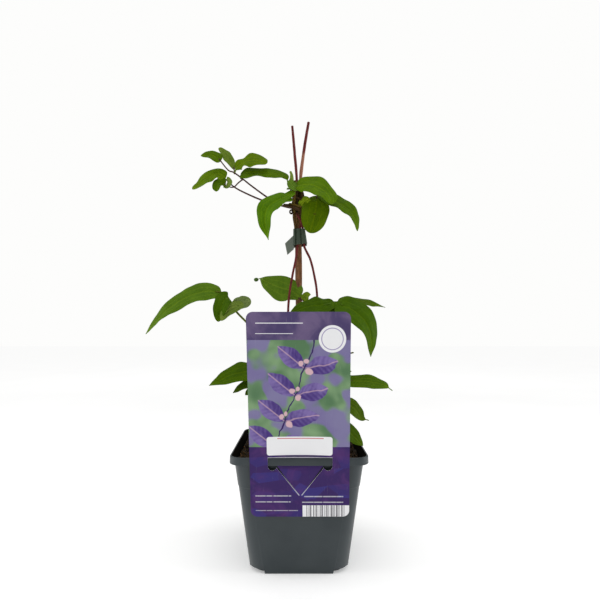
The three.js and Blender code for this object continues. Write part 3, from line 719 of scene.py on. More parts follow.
@dataclass(frozen=True)
class RawWood:
    """Split wood: fibres up the stick, dark cracks and a weathered olive top."""

    name: str = "split_wood"
    light: Colour = (142, 98, 64)
    dark: Colour = (80, 52, 33)
    crack: Colour = (30, 20, 14)
    olive: Colour = (92, 68, 28)
    olive_from: float = 335
    olive_to: float = 350

    def material(self) -> Material:
        """Builds the material."""
        g = Paint(self.name, 0.78, 0.15)
        place = g.object_mm()
        fibres = g.group(fibre_group(), Place=place, Fine=1.5)
        wood = g.mix(g.ramp(fibres["Height"], 0.32, 0.68), self.dark, self.light)
        stain = g.ramp(g.noise(g.stretched(place, (0.5, 0.5, 0.1)), 0.5, 3), 0.45, 0.7, 0, 0.5)
        stained = g.mix(stain, wood, self.dark)
        height = g.parts(place)[2]
        aged = g.mix(g.mul(g.ramp(height, self.olive_from, self.olive_to), 0.8), stained, self.olive)
        g.bump(g.sub(fibres["Height"], g.mul(fibres["Crack"], 0.8)), 0.6, 0.35)
        return g.done(g.mix(g.mul(fibres["Crack"], 0.85), aged, self.crack))


@dataclass(frozen=True)
class StemBark:
    """Thin bark of a young vine.

    The mark "bark" holds how old, how peeled and how green each place is. Young bark is red-brown, old bark
    is dark and streaked, and peeled places show pale wood in strips.
    """

    name: str = "vine_bark"
    young: Colour = (112, 42, 42)
    young_dark: Colour = (76, 30, 28)
    old: Colour = (26, 18, 7)
    old_light: Colour = (58, 44, 18)
    peeled: Colour = (150, 102, 82)
    green: Colour = (92, 92, 20)

    def material(self) -> Material:
        """Builds the material."""
        g = Paint(self.name, 0.6, 0.1)
        place = g.object_mm()
        age, peel, green = g.parts(g.mark("bark"))
        fibres = g.group(fibre_group(), Place=place, Fine=1.6)
        streak = g.ramp(fibres["Height"], 0.35, 0.66)
        young = g.mix(streak, self.young_dark, self.young)
        old = g.mix(streak, self.old, self.old_light)
        bark = g.mix(age, young, old)
        strips = g.mul(peel, g.ramp(g.add(fibres["Height"], g.mul(peel, 0.12)), 0.44, 0.56))
        bare = g.mix(strips, bark, self.peeled)
        g.bump(g.sub(fibres["Height"], g.mul(fibres["Crack"], 0.6)), 0.5, 0.25)
        return g.done(g.mix(g.mul(green, 0.7), bare, self.green), g.ramp(streak, 0, 1, 0.62, 0.45))


@dataclass(frozen=True)
class StalkSkin:
    """Smooth stalk skin in the stalk's own colour, streaked along it."""

    name: str = "stalk_skin"

    def material(self) -> Material:
        """Builds the material."""
        g = Paint(self.name, 0.55, 0.1)
        place = g.object_mm()
        grain = g.grain(place, 1.5, 0.12)
        own = g.colour_mark("tone")
        streaks = g.ramp(grain["Height"], 0.4, 0.7, 0, 0.25)
        g.bump(grain["Height"], 0.3, 0.15)
        return g.done(g.mix(streaks, own, g.lit(own, (1.6, 1.45, 1.3))), g.drift(grain, 0.42, 0.6))


@dataclass(frozen=True)
class LeafSkin:
    """A leaf's two faces in its own colour, with paler veins, blotches, a thin margin and one brown speck.

    The mark "blade" holds share across, millimetres along and half width, "tone" the leaf's colour, and
    "side" 1 on the upper face or 0 below, and how dull the underside is.
    """

    name: str = "leaf_skin"
    under: Colour = (104, 124, 66)
    speck: Colour = (58, 50, 18)
    speck_place: tuple[float, float, float] = (16.5, -14, 353.4)
    speck_radius: float = 1.3
    vein_light: float = 0.36

    def material(self) -> Material:
        """Builds the material."""
        g = Paint(self.name, 0.6, 0.04)
        blade, own = g.mark("blade"), g.colour_mark("tone")
        side, dull, _ = g.parts(g.mark("side"))
        share = g.parts(blade)[0]
        veins = g.group(vein_group(), Place=blade)
        place = g.object_mm()
        grain = g.grain(place, 0.35, 0.09)
        light = g.lit(own, (1.5, 1.3, 1.15))
        dark = g.lit(own, (0.72, 0.78, 0.7))
        blotched = g.mix(g.drift(grain, 0, 0.75), dark, own)
        blotched = g.mix(g.ramp(grain["Height"], 0.42, 0.7, 0, 0.2), blotched, light)
        pale = g.lit(own, (1.9, 1.5, 1.6))
        veined = g.mix(g.mul(veins["Main"], self.vein_light), blotched, pale)
        veined = g.mix(g.mul(veins["Network"], self.vein_light * 0.2), veined, light)
        edge = g.ramp(g.size(share), 0.93, 1.0, 0, 0.15)
        upper = g.mix(edge, veined, pale)
        away = g.vector("DISTANCE", place, self.speck_place, output="Value")
        spot = g.ramp(away, self.speck_radius * 1.6, self.speck_radius * 0.6, 0, 0.7)
        upper = g.mix(spot, upper, self.speck)
        lower = g.mix(g.mul(dull, 0.6), veined, self.under)
        rough = g.add(g.drift(grain, 0.5, 0.62), g.mul(g.sub(1.0, side), 0.15))
        sink = g.sub(g.mul(grain["Height"], 0.2), g.mul(veins["Height"], g.ramp(side, 0, 1, -0.5, 0.5)))
        g.bump(sink, 0.25, 0.2)
        return g.done(g.mix(side, lower, upper), rough)


@dataclass(frozen=True)
class PaleFloor:
    """A plain pale floor with the faintest mottling, which glows a little more the farther out it is."""

    name: str = "pale_floor"
    colour: Colour = (252, 252, 252)
    mottled: Colour = (249, 249, 249)
    near: float = 400
    far: float = 2200
    near_glow: float = 0.24
    far_glow: float = 0.49

    def material(self) -> Material:
        """Builds the material."""
        g = Paint(self.name, 0.9, 0.0)
        place = g.object_mm()
        grain = g.grain(place, 0.05, 0.004)
        out = g.vector("LENGTH", place, output="Value")
        glow = g.ramp(out, self.near, self.far, self.near_glow, self.far_glow)
        g.put(g.shader["Emission Color"], g.node("CombineColor", dict.fromkeys(range(3), glow)).outputs[0])
        g.put(g.shader["Emission Strength"], 1.0)
        return g.done(g.mix(g.drift(grain), self.colour, self.mottled))


@dataclass(frozen=True)
class CardPaper:
    """Bare card: the white back or the cut edge, with a little fibre and a few handling marks."""

    name: str
    colour: Colour
    shaded: Colour

    def material(self) -> Material:
        """Builds the material."""
        g = Paint(self.name, 0.5, 0.4)
        place = g.object_mm()
        grain = g.grain(place, 0.8, 0.05)
        wear = g.group(wear_group(), Place=place)
        base = g.mix(g.ramp(grain["Drift"], 0.35, 0.7), self.colour, self.shaded)
        g.bump(grain["Height"], 0.15, 0.08)
        return g.done(g.mix(g.mul(wear["Scuff"], 0.3), base, self.shaded))


@cache
def box_group() -> NodeTree:
    """A round-cornered box: 1 where its distance, max(|offset| - half + corner, 0) - corner, is below 0."""
    vectors = {"Place": "Vector", "Middle": "Vector", "Half": "Vector"}
    g = GroupGraph("printed_box", **vectors, Corner="Float", Soft="Float")
    corner = g.given["Corner"]
    x, y, _ = g.parts(g.vector("SUBTRACT", g.given["Place"], g.given["Middle"]))
    half_x, half_y, _ = g.parts(g.given["Half"])
    over_x, over_y = g.sub(g.size(x), g.sub(half_x, corner)), g.sub(g.size(y), g.sub(half_y, corner))
    out_x, out_y = g.top(over_x, 0.0), g.top(over_y, 0.0)
    round_off = g.math("SQRT", g.add(g.mul(out_x, out_x), g.mul(out_y, out_y)))
    inside = g.math("MINIMUM", g.top(over_x, over_y), 0.0)
    distance = g.sub(g.add(round_off, inside), corner)
    return g.closed(Mask=g.clamped(g.sub(0.5, g.math("DIVIDE", distance, g.given["Soft"]))))


@cache
def lens_group() -> NodeTree:
    """A printed lens-shaped leaf: inside where |across| < width (1 - (along / length)^2), with a midrib."""
    numbers = {"Turn": "Float", "Length": "Float", "Width": "Float"}
    g = GroupGraph("printed_leaf", Place="Vector", Middle="Vector", **numbers)
    x, y, _ = g.parts(g.vector("SUBTRACT", g.given["Place"], g.given["Middle"]))
    cosine, sine = g.math("COSINE", g.given["Turn"]), g.math("SINE", g.given["Turn"])
    along = g.math("DIVIDE", g.add(g.mul(x, cosine), g.mul(y, sine)), g.given["Length"])
    across = g.math("DIVIDE", g.sub(g.mul(y, cosine), g.mul(x, sine)), g.given["Width"])
    inside = g.sub(g.sub(1.0, g.mul(along, along)), g.size(across))
    ribs = g.math("SINE", g.mul(g.sub(along, g.mul(g.size(across), 0.35)), 22.0))
    half_light = g.ramp(across, -0.5, 0.5, 0.15, 0.55)
    shade = g.add(half_light, g.add(g.mul(g.ramp(along, -1, 1), 0.3), g.mul(ribs, 0.08)))
    return g.closed(Mask=g.ramp(inside, -0.04, 0.05), Shade=shade, Rib=g.ramp(g.size(across), 0.1, 0.03))


@dataclass(frozen=True)
class LabelPrint:
    """The label's printed face: a generic garden print with bare sticker, badge and title places.

    The mark "print" holds the place on the flat card, in millimetres right of its middle and above its foot.
    """

    name: str = "label_print"
    deep: Colour = (54, 32, 92)
    blue: Colour = (54, 48, 124)
    plum: Colour = (84, 46, 108)
    band: Colour = (74, 62, 104)
    band_light: Colour = (108, 92, 128)
    green: Colour = (128, 160, 118)
    green_dark: Colour = (84, 120, 84)
    petal: Colour = (66, 44, 118)
    petal_light: Colour = (126, 108, 168)
    heart: Colour = (212, 176, 184)
    white: Colour = (238, 238, 240)
    red: Colour = (196, 74, 84)
    ink: Colour = (58, 54, 66)
    picture_low: float = 66.2
    picture_high: float = 163.3
    twig_foot: float = -22
    twig_lean: float = 0.38
    twig_heights: tuple[float, ...] = (66, 90, 114, 138)
    leaf_turns: tuple[float, ...] = (2.45, 0.2)
    leaf_half_length: float = 15.5
    leaf_half_width: float = 8.2
    berries: tuple[Triple, ...] = ((-3.2, 4.4, 2.5), (3.6, -2.6, 2.9), (1.4, 6.6, 2.1))
    title_bars: tuple[Box, ...] = ((-37.6, 177.6, 3.9, 178.3), (-37.9, 168.6, -4.8, 169.1))
    small_bars: tuple[Box, ...] = (
        (-41, 18.9, -8, 19.9), (-41, 13.1, -8.5, 14.1), (-41, 4.8, -2, 5.4),
        (4, 18.3, 40, 19.3), (2, 12.7, 40, 13.7),
    )
    disc: Box = (17.6, 152.2, 41.6, 176.2)
    ring_outer: Box = (19.8, 154.4, 39.4, 174.0)
    ring_inner: Box = (20.6, 155.2, 38.6, 173.2)
    sticker: Box = (-29.7, 58.1, 30, 75.6)
    red_line: Box = (-20, 73.6, 22, 74.3)
    panel: Box = (2.4, -9, 60, 10.2)
    stripes: Box = (5.5, -9, 41.5, 10.2)
    beyond: float = 60
    above: float = 200
    cut_middle: float = 0.5
    cut_top: tuple[float, float] = (21.3, 46.9)
    cut_foot: tuple[float, float] = (2.1, 21.2)
    slot_line: float = 56.1
    slot_reach: float = 29.8

    def box(self, g: Graph, place: Socket, box: Box, corner: float = 0.0, soft: float = 0.25) -> Socket:
        """The mask of a box, given by the x and y of its low corner and of its high corner.

        Args:
            g: The material's nodes.
            place: The place that is tested.
            box: Its low and its high corner.
            corner: Radius of its corners.
            soft: Width of its blurred edge.

        Returns:
            1 inside, 0 outside.
        """
        left, low, right, high = box
        middle = ((left + right) / 2, (low + high) / 2, 0.0)
        half = ((right - left) / 2, (high - low) / 2, 0.0)
        return g.group(box_group(), Place=place, Middle=middle, Half=half, Corner=corner, Soft=soft)["Mask"]

    def round_box(self, g: Graph, place: Socket, box: Box) -> Socket:
        """The mask of the disc that fills a square box."""
        return self.box(g, place, box, (box[2] - box[0]) / 2)

    def picture(self, g: Graph, place: Socket) -> Socket:
        """Blurred greens behind a leaning twig of violet leaves, with pale berries where the leaves start.

        Args:
            g: The material's nodes.
            place: The place on the card.

        Returns:
            The colour.
        """
        flat = g.stretched(place, (1, 1, 0))
        cloud = g.noise(flat, 0.035, 2, 0.5, 0.4)
        colour = g.mix(g.ramp(cloud, 0.35, 0.65), self.green_dark, self.green)
        far_leaves = g.ramp(g.noise(g.vector("ADD", flat, (40.0, 9.0, 0.0)), 0.045, 1, 0.4), 0.48, 0.58)
        colour = g.mix(g.mul(far_leaves, 0.8), colour, self.petal_light)
        sway = g.sub(g.noise(flat, 0.07, 2, 0.5), 0.5)
        push = g.node("CombineXYZ", {0: g.mul(sway, 7.0), 1: g.mul(sway, -5.0), 2: 0.0}).outputs[0]
        bent = g.vector("ADD", flat, push)
        mottle = g.ramp(g.noise(flat, 0.12, 3, 0.6), 0.2, 0.8, 0.6, 1.3)
        reach, width = self.leaf_half_length, self.leaf_half_width
        feet = [(self.twig_foot + self.twig_lean * (up - self.picture_low), up) for up in self.twig_heights]
        for x, y in feet:
            for turn in self.leaf_turns:
                middle = (x + reach * math.cos(turn), y + reach * math.sin(turn), 0.0)
                leaf = g.group(lens_group(), Place=bent, Middle=middle, Turn=turn, Length=reach, Width=width)
                shade = g.mul(leaf["Shade"], mottle)
                violet = g.mix(g.ramp(shade, 0.05, 0.9), self.petal, self.petal_light)
                violet = g.mix(g.mul(leaf["Rib"], 0.5), violet, self.heart)
                colour = g.mix(leaf["Mask"], colour, violet)
        right, up, _ = g.parts(bent)
        twig = g.size(g.sub(g.sub(right, self.twig_foot), g.mul(g.sub(up, self.picture_low), self.twig_lean)))
        colour = g.mix(g.ramp(twig, 0.9, 0.5), colour, self.deep)
        for x, y in feet:
            for aside, over, r in self.berries:
                berry = (x + aside - r, y + over - r, x + aside + r, y + over + r)
                colour = g.mix(self.box(g, bent, berry, r, 0.6), colour, self.heart)
        return colour

    def lower(self, g: Graph, place: Socket) -> Socket:
        """Facets of purple and blue in irregular cells, with soft drifts of plum.

        Args:
            g: The material's nodes.
            place: The place on the card.

        Returns:
            The colour.
        """
        bent = g.node("Mapping", {"Vector": place, "Scale": (1.0, 1.7, 0.0), "Rotation": (0, 0, 0.5)})
        cells = g.node("TexVoronoi", {"Vector": bent.outputs[0], "Scale": 0.055}, feature="F1")
        pick = g.node("SeparateColor", {0: cells.outputs["Color"]}).outputs["Red"]
        tint = g.mix(g.ramp(pick, 0.45, 1.0, 0, 0.8), self.deep, self.blue)
        drift = g.ramp(g.noise(place, 0.05, 3, 0.55, 0.8), 0.45, 0.72)
        return g.mix(g.mul(drift, 0.75), tint, self.plum)

    def cuts(self, g: Graph, x: Socket, y: Socket) -> Socket:
        """Painted highlights: pale lines along the tongue's two cuts and the slot's top, where the card's cut
        edges catch the light.

        Args:
            g: The material's nodes.
            x: Millimetres right of the card's middle.
            y: Millimetres above its foot.

        Returns:
            The lines' mask.
        """
        (top_x, top_y), (foot_x, foot_y) = self.cut_top, self.cut_foot
        length = math.hypot(top_x - foot_x, top_y - foot_y)
        across = ((top_y - foot_y) / length, (foot_x - top_x) / length)
        mirrored = g.size(g.sub(x, self.cut_middle))
        away = g.add(g.mul(g.sub(mirrored, top_x), across[0]), g.mul(g.sub(y, top_y), across[1]))
        line = g.ramp(g.size(away), 0.55, 0.25)
        span = g.mul(g.ramp(y, foot_y - 1.5, foot_y - 1.0), g.ramp(y, top_y + 0.6, top_y + 0.2))
        slot_span = g.ramp(mirrored, self.slot_reach, self.slot_reach - 0.6)
        slot = g.mul(g.ramp(g.size(g.sub(y, self.slot_line)), 0.35, 0.15), slot_span)
        return g.mul(g.top(g.mul(line, span), slot), 0.6)

    def material(self) -> Material:
        """Builds the material."""
        g = Paint(self.name, 0.36, 0.16)
        place = g.mark("print")
        x, y, _ = g.parts(place)
        picture_box = (-self.beyond, self.picture_low, self.beyond, self.picture_high)
        colour = g.mix(self.box(g, place, picture_box), self.lower(g, place), self.picture(g, place))
        haze = g.ramp(g.noise(place, 0.045, 3, 0.55, 0.6), 0.35, 0.7)
        band_box = (-self.beyond, self.picture_high, self.beyond, self.above)
        colour = g.mix(self.box(g, place, band_box), colour, g.mix(haze, self.band, self.band_light))
        colour = g.mix(self.round_box(g, place, self.disc), colour, self.white)
        outer, inner = (self.round_box(g, place, box) for box in (self.ring_outer, self.ring_inner))
        colour = g.mix(g.mul(g.clamped(g.sub(outer, inner)), 0.8), colour, self.petal_light)
        for bar in self.title_bars:
            colour = g.mix(self.box(g, place, bar, 0.3), colour, self.white)
        # Painted highlight along the cut edges of the tongue and the slot.
        colour = g.mix(self.cuts(g, x, y), colour, self.white)
        colour = g.mix(self.box(g, place, self.sticker, 2.4), colour, self.white)
        colour = g.mix(self.box(g, place, self.red_line, 0.0, 0.2), colour, self.red)
        flat = g.stretched(place, (1, 0, 0))
        gaps = g.ramp(g.noise(flat, 0.5, 3, 0.7), 0.38, 0.46)
        for bar in self.small_bars:
            colour = g.mix(g.mul(g.mul(self.box(g, place, bar, 0.3, 0.5), gaps), 0.55), colour, self.white)
        colour = g.mix(self.box(g, place, self.panel), colour, self.white)
        lines = g.ramp(g.noise(flat, 0.9, 2, 0.8), 0.5, 0.52)
        colour = g.mix(g.mul(lines, self.box(g, place, self.stripes)), colour, self.ink)
        grain = g.grain(place, 0.9, 0.04)
        scuff = g.group(wear_group(), Place=place)["Scuff"]
        g.bump(grain["Height"], 0.06, 0.05)
        return g.done(g.mix(g.mul(scuff, 0.12), colour, self.white), g.drift(grain, 0.28, 0.4))


# ---------------------------------------------------------------- pot and soil


# Shares of a corner in which its dip grows, and of a side that a fillet takes at most.
DIP_SHARE = 0.05
SIDE_SHARE = 0.45
NOTCHED = np.concatenate([[0, 0.02, 0.05], np.linspace(0.08, 0.92, 11), [0.95, 0.98, 1]])


def square_rings(rows: Array, share: Array = NOTCHED, side_steps: int = 8) -> Array:
    """Outlines of a square with round corners, one for each row.

    A corner's place = (half - corner) + (corner - dip ease) at the angle of the share, where ease climbs
    from 0 to 1 over the first twentieth of the corner and falls over the last. Straight sides join them.

    Args:
        rows: Half width, corner radius, height and corner dip of each outline.
        share: Shares of the way round each corner.
        side_steps: Spans along each side.

    Returns:
        Corners by row, anticlockwise from above.
    """
    half, corner, z, dip = (rows[:, k, None, None] for k in range(4))
    quarter = np.arange(4)[None, :, None]
    angle = (quarter + share) * math.pi / 2
    right = np.where((quarter == 0) | (quarter == 3), 1, -1)
    back = np.where(quarter < 2, 1, -1)
    reach = corner - dip * np.clip(np.minimum(share, 1 - share) / DIP_SHARE, 0, 1)
    x = right * (half - corner) + reach * np.cos(angle)
    y = back * (half - corner) + reach * np.sin(angle)
    arcs = np.stack([x, y], -1)
    step = (np.arange(1, side_steps) / side_steps)[:, None]
    start, stop = arcs[:, :, -1:, :], np.roll(arcs, -1, axis=1)[:, :, :1, :]
    sides = start * (1 - step) + stop * step
    flat = np.concatenate([arcs, sides], axis=2).reshape(len(rows), -1, 2)
    return np.concatenate([flat, np.broadcast_to(z.reshape(-1, 1, 1), flat.shape[:2] + (1,))], -1)


def filleted(rows: Array, radii: Array, steps: int = 4) -> Array:
    """Rounds a profile's corners.

    Each corner becomes the curve (1-t)^2 before + 2t(1-t) corner + t^2 after, where before and after lie
    the radius away along its two sides, or at most a fixed share of a side.

    Args:
        rows: The profile's corners, with any number of columns.
        radii: Radius at each corner.
        steps: Spans of each curve.

    Returns:
        The rounded profile.
    """
    before, after = np.roll(rows, 1, axis=0), np.roll(rows, -1, axis=0)
    before[0], after[-1] = rows[0], rows[-1]
    ends = []
    for beside in (before, after):
        reach = np.maximum(np.linalg.norm((beside - rows)[:, :3], axis=1), TINY)
        ends.append(rows + (beside - rows) * np.minimum(radii / reach, SIDE_SHARE)[:, None])
    start, stop = ends
    t = np.linspace(0, 1, steps + 1)[None, :, None]
    curve = (1 - t) ** 2 * start[:, None] + 2 * t * (1 - t) * rows[:, None] + t**2 * stop[:, None]
    return curve.reshape(-1, rows.shape[1])


@dataclass
class Pot:
    """The square nursery pot: tapered walls, stacking step, corner notches, rim and drain holes."""

    height: float = 115.2
    foot_half: float = 48.5
    foot_corner: float = 16
    neck_half: float = 61
    neck_corner: float = 13
    neck_z: float = 108
    wall: float = 1.3
    floor: float = 2.2
    step_z: float = 84.5
    step_out: float = 0.5
    step_over: float = 2
    step_under: float = 0.5
    notch_height: float = 4
    notch_dip: float = 5
    rim_half: float = 65
    rim_corner: float = 12.4
    rim_drop: float = 7.2
    rim_thickness: float = 1.3
    lip: float = 0.7
    drain_radius: float = 4
    drain_reach: float = 33
    drain_count: int = 8
    drain_sides: int = 28
    rim_top: float = 1.6
    roof_drop: float = 4
    crease: float = 0.35
    inside_ring: int = 61

    def row(self, z: float, depth: float = 0.0, dip: float = 0.0) -> list[float]:
        """One outline of the wall, moved in by a depth: half and corner change evenly from foot to neck.

        Args:
            z: Its height.
            depth: How far it lies inside the wall's face.
            dip: Depth of the corner notches.

        Returns:
            Half width, corner radius, height and dip.
        """
        share = z / self.neck_z
        out = (self.step_out if z > self.step_z else 0) - depth
        half = self.foot_half + (self.neck_half - self.foot_half) * share + out
        corner = self.foot_corner + (self.neck_corner - self.foot_corner) * share + out
        return [half, corner, z, dip]

    def profile(self) -> Array:
        """The pot's section: each corner with its radius, up the outside, over the rim and down inside."""
        inner = self.rim_half - self.rim_thickness
        low, roof = self.height - self.rim_drop, self.height - self.roof_drop
        ledge = self.notch_height + self.wall
        nodes = [
            ([self.foot_half - 0.6, self.foot_corner - 0.6, 0, self.notch_dip], 0.5),
            (self.row(1, 0, self.notch_dip), 0.3),
            (self.row(self.notch_height, 0, self.notch_dip), 0.2),
            (self.row(self.notch_height, 0, self.crease), 0.5),
            (self.row(self.step_z, 0, self.crease), 0.3),
            (self.row(self.step_z + 0.12, 0, self.crease), 0.3),
            (self.row(roof), 0.4),
            ([inner, self.rim_corner - self.rim_thickness, roof, 0], 0.4),
            ([inner, self.rim_corner - self.rim_thickness, low, 0], 0.2),
            ([self.rim_half + 0.3, self.rim_corner, low, 0], 0.35),
            ([self.rim_half, self.rim_corner, self.height - self.lip, 0], 0.6),
            ([self.rim_half - self.lip, self.rim_corner - self.lip, self.height, 0], 0.5),
            ([self.rim_half - self.rim_top, self.rim_corner - self.rim_top, self.height - 0.2, 0], 0.3),
            (self.row(self.height - 4.4, self.wall), 0.6),
            (self.row(self.step_z + self.step_over, self.wall), 0.5),
            (self.row(self.step_z - self.step_under, self.wall), 0.5),
            (self.row(ledge, self.wall), 0.5),
            (self.row(ledge, self.wall, self.notch_dip), 0.2),
            (self.row(self.floor, self.wall, self.notch_dip), 0.5),
        ]
        rows, radii = (np.array(column, float) for column in zip(*nodes))
        return filleted(rows, radii)

    def plugs(self) -> list[Skin]:
        """Upright cylinders on a circle, which stand out of the floor on both sides."""
        angle = np.arange(self.drain_count) * TAU / self.drain_count
        centres = self.drain_reach * np.stack([np.cos(angle), np.sin(angle)], -1)
        rise = (-2, 1, self.floor + 2)
        return [
            tube([[x, y, z] for z in rise], self.drain_radius, self.drain_sides, 2, (End.CUT, End.CUT))
            for x, y in centres.tolist()
        ]

    def build(self) -> None:
        """Makes the pot and cuts its drain holes."""
        finish = MouldedPlastic("pot_plastic", (47, 55, 58), (72, 78, 81), roughness=0.36).material()
        # The pot's inside above the soil: soil dust over a near-black base colour, which is painted shade for
        # the dark inside of the pot.
        inside_dust_and_shade = MouldedPlastic(
            "pot_inside_dust_and_shade", (15, 14, 11), (22, 20, 15), (52, 40, 24), 0.8, scuffs=0.2, dust=0.9, shine=0.0
        ).material()
        rings = square_rings(self.profile())
        skin = closed_rings(rings)
        inside = self.inside_ring * rings.shape[1]
        skin.faces = [skin.faces[0][:inside], skin.faces[0][inside:], *skin.faces[1:]]
        skin.finish = [0, 1, 0, 1]
        made = add_piece("pot_shell", skin, [finish, inside_dust_and_shade], ["pot"], 32)
        plug = joined(self.plugs())
        cutter = plain_object("drain_plugs", plug.points, plug.faces)
        cut = made.modifiers.new("drain_holes", "BOOLEAN")
        cut.operation, cut.object, cut.solver = "DIFFERENCE", cutter, "EXACT"
        whole = bpy.data.meshes.new_from_object(made.evaluated_get(bpy.context.evaluated_depsgraph_get()))
        made.modifiers.clear()
        made.data = whole
        bpy.data.objects.remove(cutter)
        log.info("pot_shell with drain holes: %d faces", len(whole.polygons))


@dataclass
class Soil:
    """The potting compost with crumbs, bark chips and pale dry roots."""

    pot: Pot
    top: float = 102
    gap: float = 0.35
    rise: float = 1.2
    heap: float = 6.5
    heap_from: float = 42
    heap_width: float = 16
    edge_share: float = 0.08
    rings: int = 64
    crumbs: int = 900
    crumb_reach: float = 57
    chips: int = 90
    chip_reach: float = 55
    roots: int = 16

    def height(self, x: Array, y: Array) -> Array:
        """The surface: slow rises (sin cos + 0.6 sin), a heap at the side walls and two sizes of waviness.

        Args:
            x: Millimetres to the right.
            y: Millimetres to the back.

        Returns:
            Heights.
        """
        slow = self.rise * (np.sin(0.17 * x + 1) * np.cos(0.21 * y) + 0.6 * np.sin(0.37 * x - 0.29 * y))
        slow = slow + self.heap * np.clip((np.abs(x) - self.heap_from) / self.heap_width, 0, 1) ** 2
        return self.top + slow + 0.45 * waviness(x, y, 7, 3) + 0.25 * waviness(x, y, 3, 4)

    def bed(self) -> Skin:
        """The skirt inside the pot and the uneven top, ring by ring towards the middle."""
        pot, depth = self.pot, self.pot.wall + self.gap
        shelf = pot.notch_height + depth
        skirt = np.array([
            pot.row(pot.floor + self.gap, depth, pot.notch_dip),
            pot.row(shelf, depth, pot.notch_dip),
            pot.row(shelf, depth),
            pot.row(pot.step_z - pot.step_under - self.gap, depth),
            pot.row(pot.step_z + pot.step_over + self.gap, depth),
            pot.row(self.top, depth),
        ], float)
        *sides, rim = square_rings(skirt, NOTCHED, 14)
        share = np.linspace(1, 0.01, self.rings)[:, None]
        x, y = rim[None, :, 0] * share, rim[None, :, 1] * share
        edge = np.clip((1 - share) / self.edge_share, 0, 1)
        drop = np.where(np.abs(x) > self.crumb_reach, 0.5, 1.0) * (1 - edge)
        return closed_rings(np.concatenate([sides, np.stack([x, y, self.height(x, y) - drop], -1)]))

    def spots(self, rng: np.random.Generator, count: int, reach: float) -> tuple[Array, Array]:
        """Seeded places on the surface, clear of the cane and the stems.

        Args:
            rng: Source of the places.
            count: How many at most.
            reach: Greatest distance to each side.

        Returns:
            Their x and their y.
        """
        x, y = rng.uniform(-reach, reach, (2, count * 3))
        clear = (np.hypot(x, y) > 6) & (np.hypot(x + 7, y + 3) > 4) & (np.hypot(x - 7, y - 3) > 4)
        return x[clear][:count], y[clear][:count]

    def build(self) -> None:
        """Makes the bed and what lies on it."""
        add_piece("soil_bed", self.bed(), [PottingSoil().material()], ["soil"], 60)
        rng = np.random.default_rng(11)
        x, y = self.spots(rng, self.crumbs, self.crumb_reach)
        size = rng.uniform(0.5, 1.9, (len(x), 1)) * rng.uniform(0.7, 1.3, (len(x), 3))
        places = np.stack([x, y, self.height(x, y) + 0.2 * size[:, 2]], -1)
        crumbs = strewn(lump(), places, size, turns(rng, len(x)), rng, 0.3)
        x, y = self.spots(rng, self.chips, self.chip_reach)
        size = np.stack([rng.uniform(*span, len(x)) for span in ((1.8, 5.5), (0.9, 2.2), (0.35, 0.8))], -1)
        places = np.stack([x, y, self.height(x, y) + 0.9], -1)
        chips = strewn(lump(8, 3), places, size, turns(rng, len(x), 0.09), rng, 0.22)
        for name, skin, finish in (
            ("soil_crumbs", crumbs, CrumbFinish("soil_crumb", (16, 12, 8), (76, 58, 34))),
            ("bark_chips", chips, CrumbFinish("bark_chip", (66, 38, 20), (158, 104, 56))),
            ("dry_roots", self.root_tangle(rng), CrumbFinish("dry_root", (112, 92, 62), (176, 156, 116))),
        ):
            add_piece(name, skin, [finish.material()])

    def root_tangle(self, rng: np.random.Generator) -> Skin:
        """Thin pale threads that lie on the surface, some with a lifted end.

        Args:
            rng: Source of their places and bends.

        Returns:
            All of them.
        """
        threads = []
        for _ in range(self.roots):
            x, y, turn = rng.uniform(-50, 50), rng.uniform(-52, 52), rng.uniform(0, TAU)
            reach = np.linspace(0, rng.uniform(9, 22), 5)
            bend = rng.uniform(-0.06, 0.06)
            way = np.stack([np.cos(turn + bend * reach), np.sin(turn + bend * reach)])
            x, y = np.clip(np.array([[x], [y]]) + reach * way, -self.crumb_reach, self.crumb_reach)
            lift = np.array([0.5, 0.8, 1.1, 0.7, rng.uniform(0.3, 3.0)])
            route = np.stack([x, y, self.height(x, y) + lift], -1)
            threads.append(tube(route, rng.uniform(0.25, 0.5), 5, 12).mark("seed", rng.uniform(0, 1, 3)))
        return joined(threads)


# ---------------------------------------------------------------- cane, stems, clip


@dataclass
class Cane:
    """The split square stick that the plant is clipped to."""

    side: float = 5.8
    corner: float = 0.9
    turn: float = 25
    route: Route = ((0, 0, 30), (0, 0, 140), (0, 0, 265), (-0.5, 0, 324), (-1.2, 0, 376))
    swell: float = 0.02
    swell_rate: float = 20.7
    splinter: float = 0.035
    split: float = 0.8
    steps: int = 150

    def skin(self) -> Skin:
        """Square rings round the route, roughened by fibres of waviness along it, with a split top."""
        share = np.linspace(0, 1, self.steps + 1)
        centre = spline(self.route, share)
        half = self.side / 2 * (1 + self.swell * np.sin(self.swell_rate * share))
        flat = np.stack([half, np.full_like(half, self.corner), np.zeros_like(half), np.zeros_like(half)], -1)
        rings = square_rings(flat, np.linspace(0, 1, 4), 6)
        angle = math.radians(self.turn)
        x = rings[..., 0] * math.cos(angle) - rings[..., 1] * math.sin(angle)
        y = rings[..., 0] * math.sin(angle) + rings[..., 1] * math.cos(angle)
        side, rise = np.broadcast_arrays(np.arange(rings.shape[1])[None, :] * 1.0, centre[:, 2:3] * 0.05)
        rough = 1 + self.splinter * waviness(side, rise, 3.0, 21)
        x, y = x * rough, y * rough
        z = np.zeros_like(x)
        z[-1] += self.split * waviness(x[-1], y[-1], 2.5, 22)
        return closed_rings(np.stack([x, y, z], -1) + centre[:, None])

    def build(self) -> None:
        """Makes the cane."""
        add_piece("cane_wood", self.skin(), [RawWood().material()], ["cane"], 50)


@dataclass
class Joint:
    """A swelling of a stem: its height, how far it stands out, and its half length."""

    z: float
    out: float = 0.7
    reach: float = 2.6


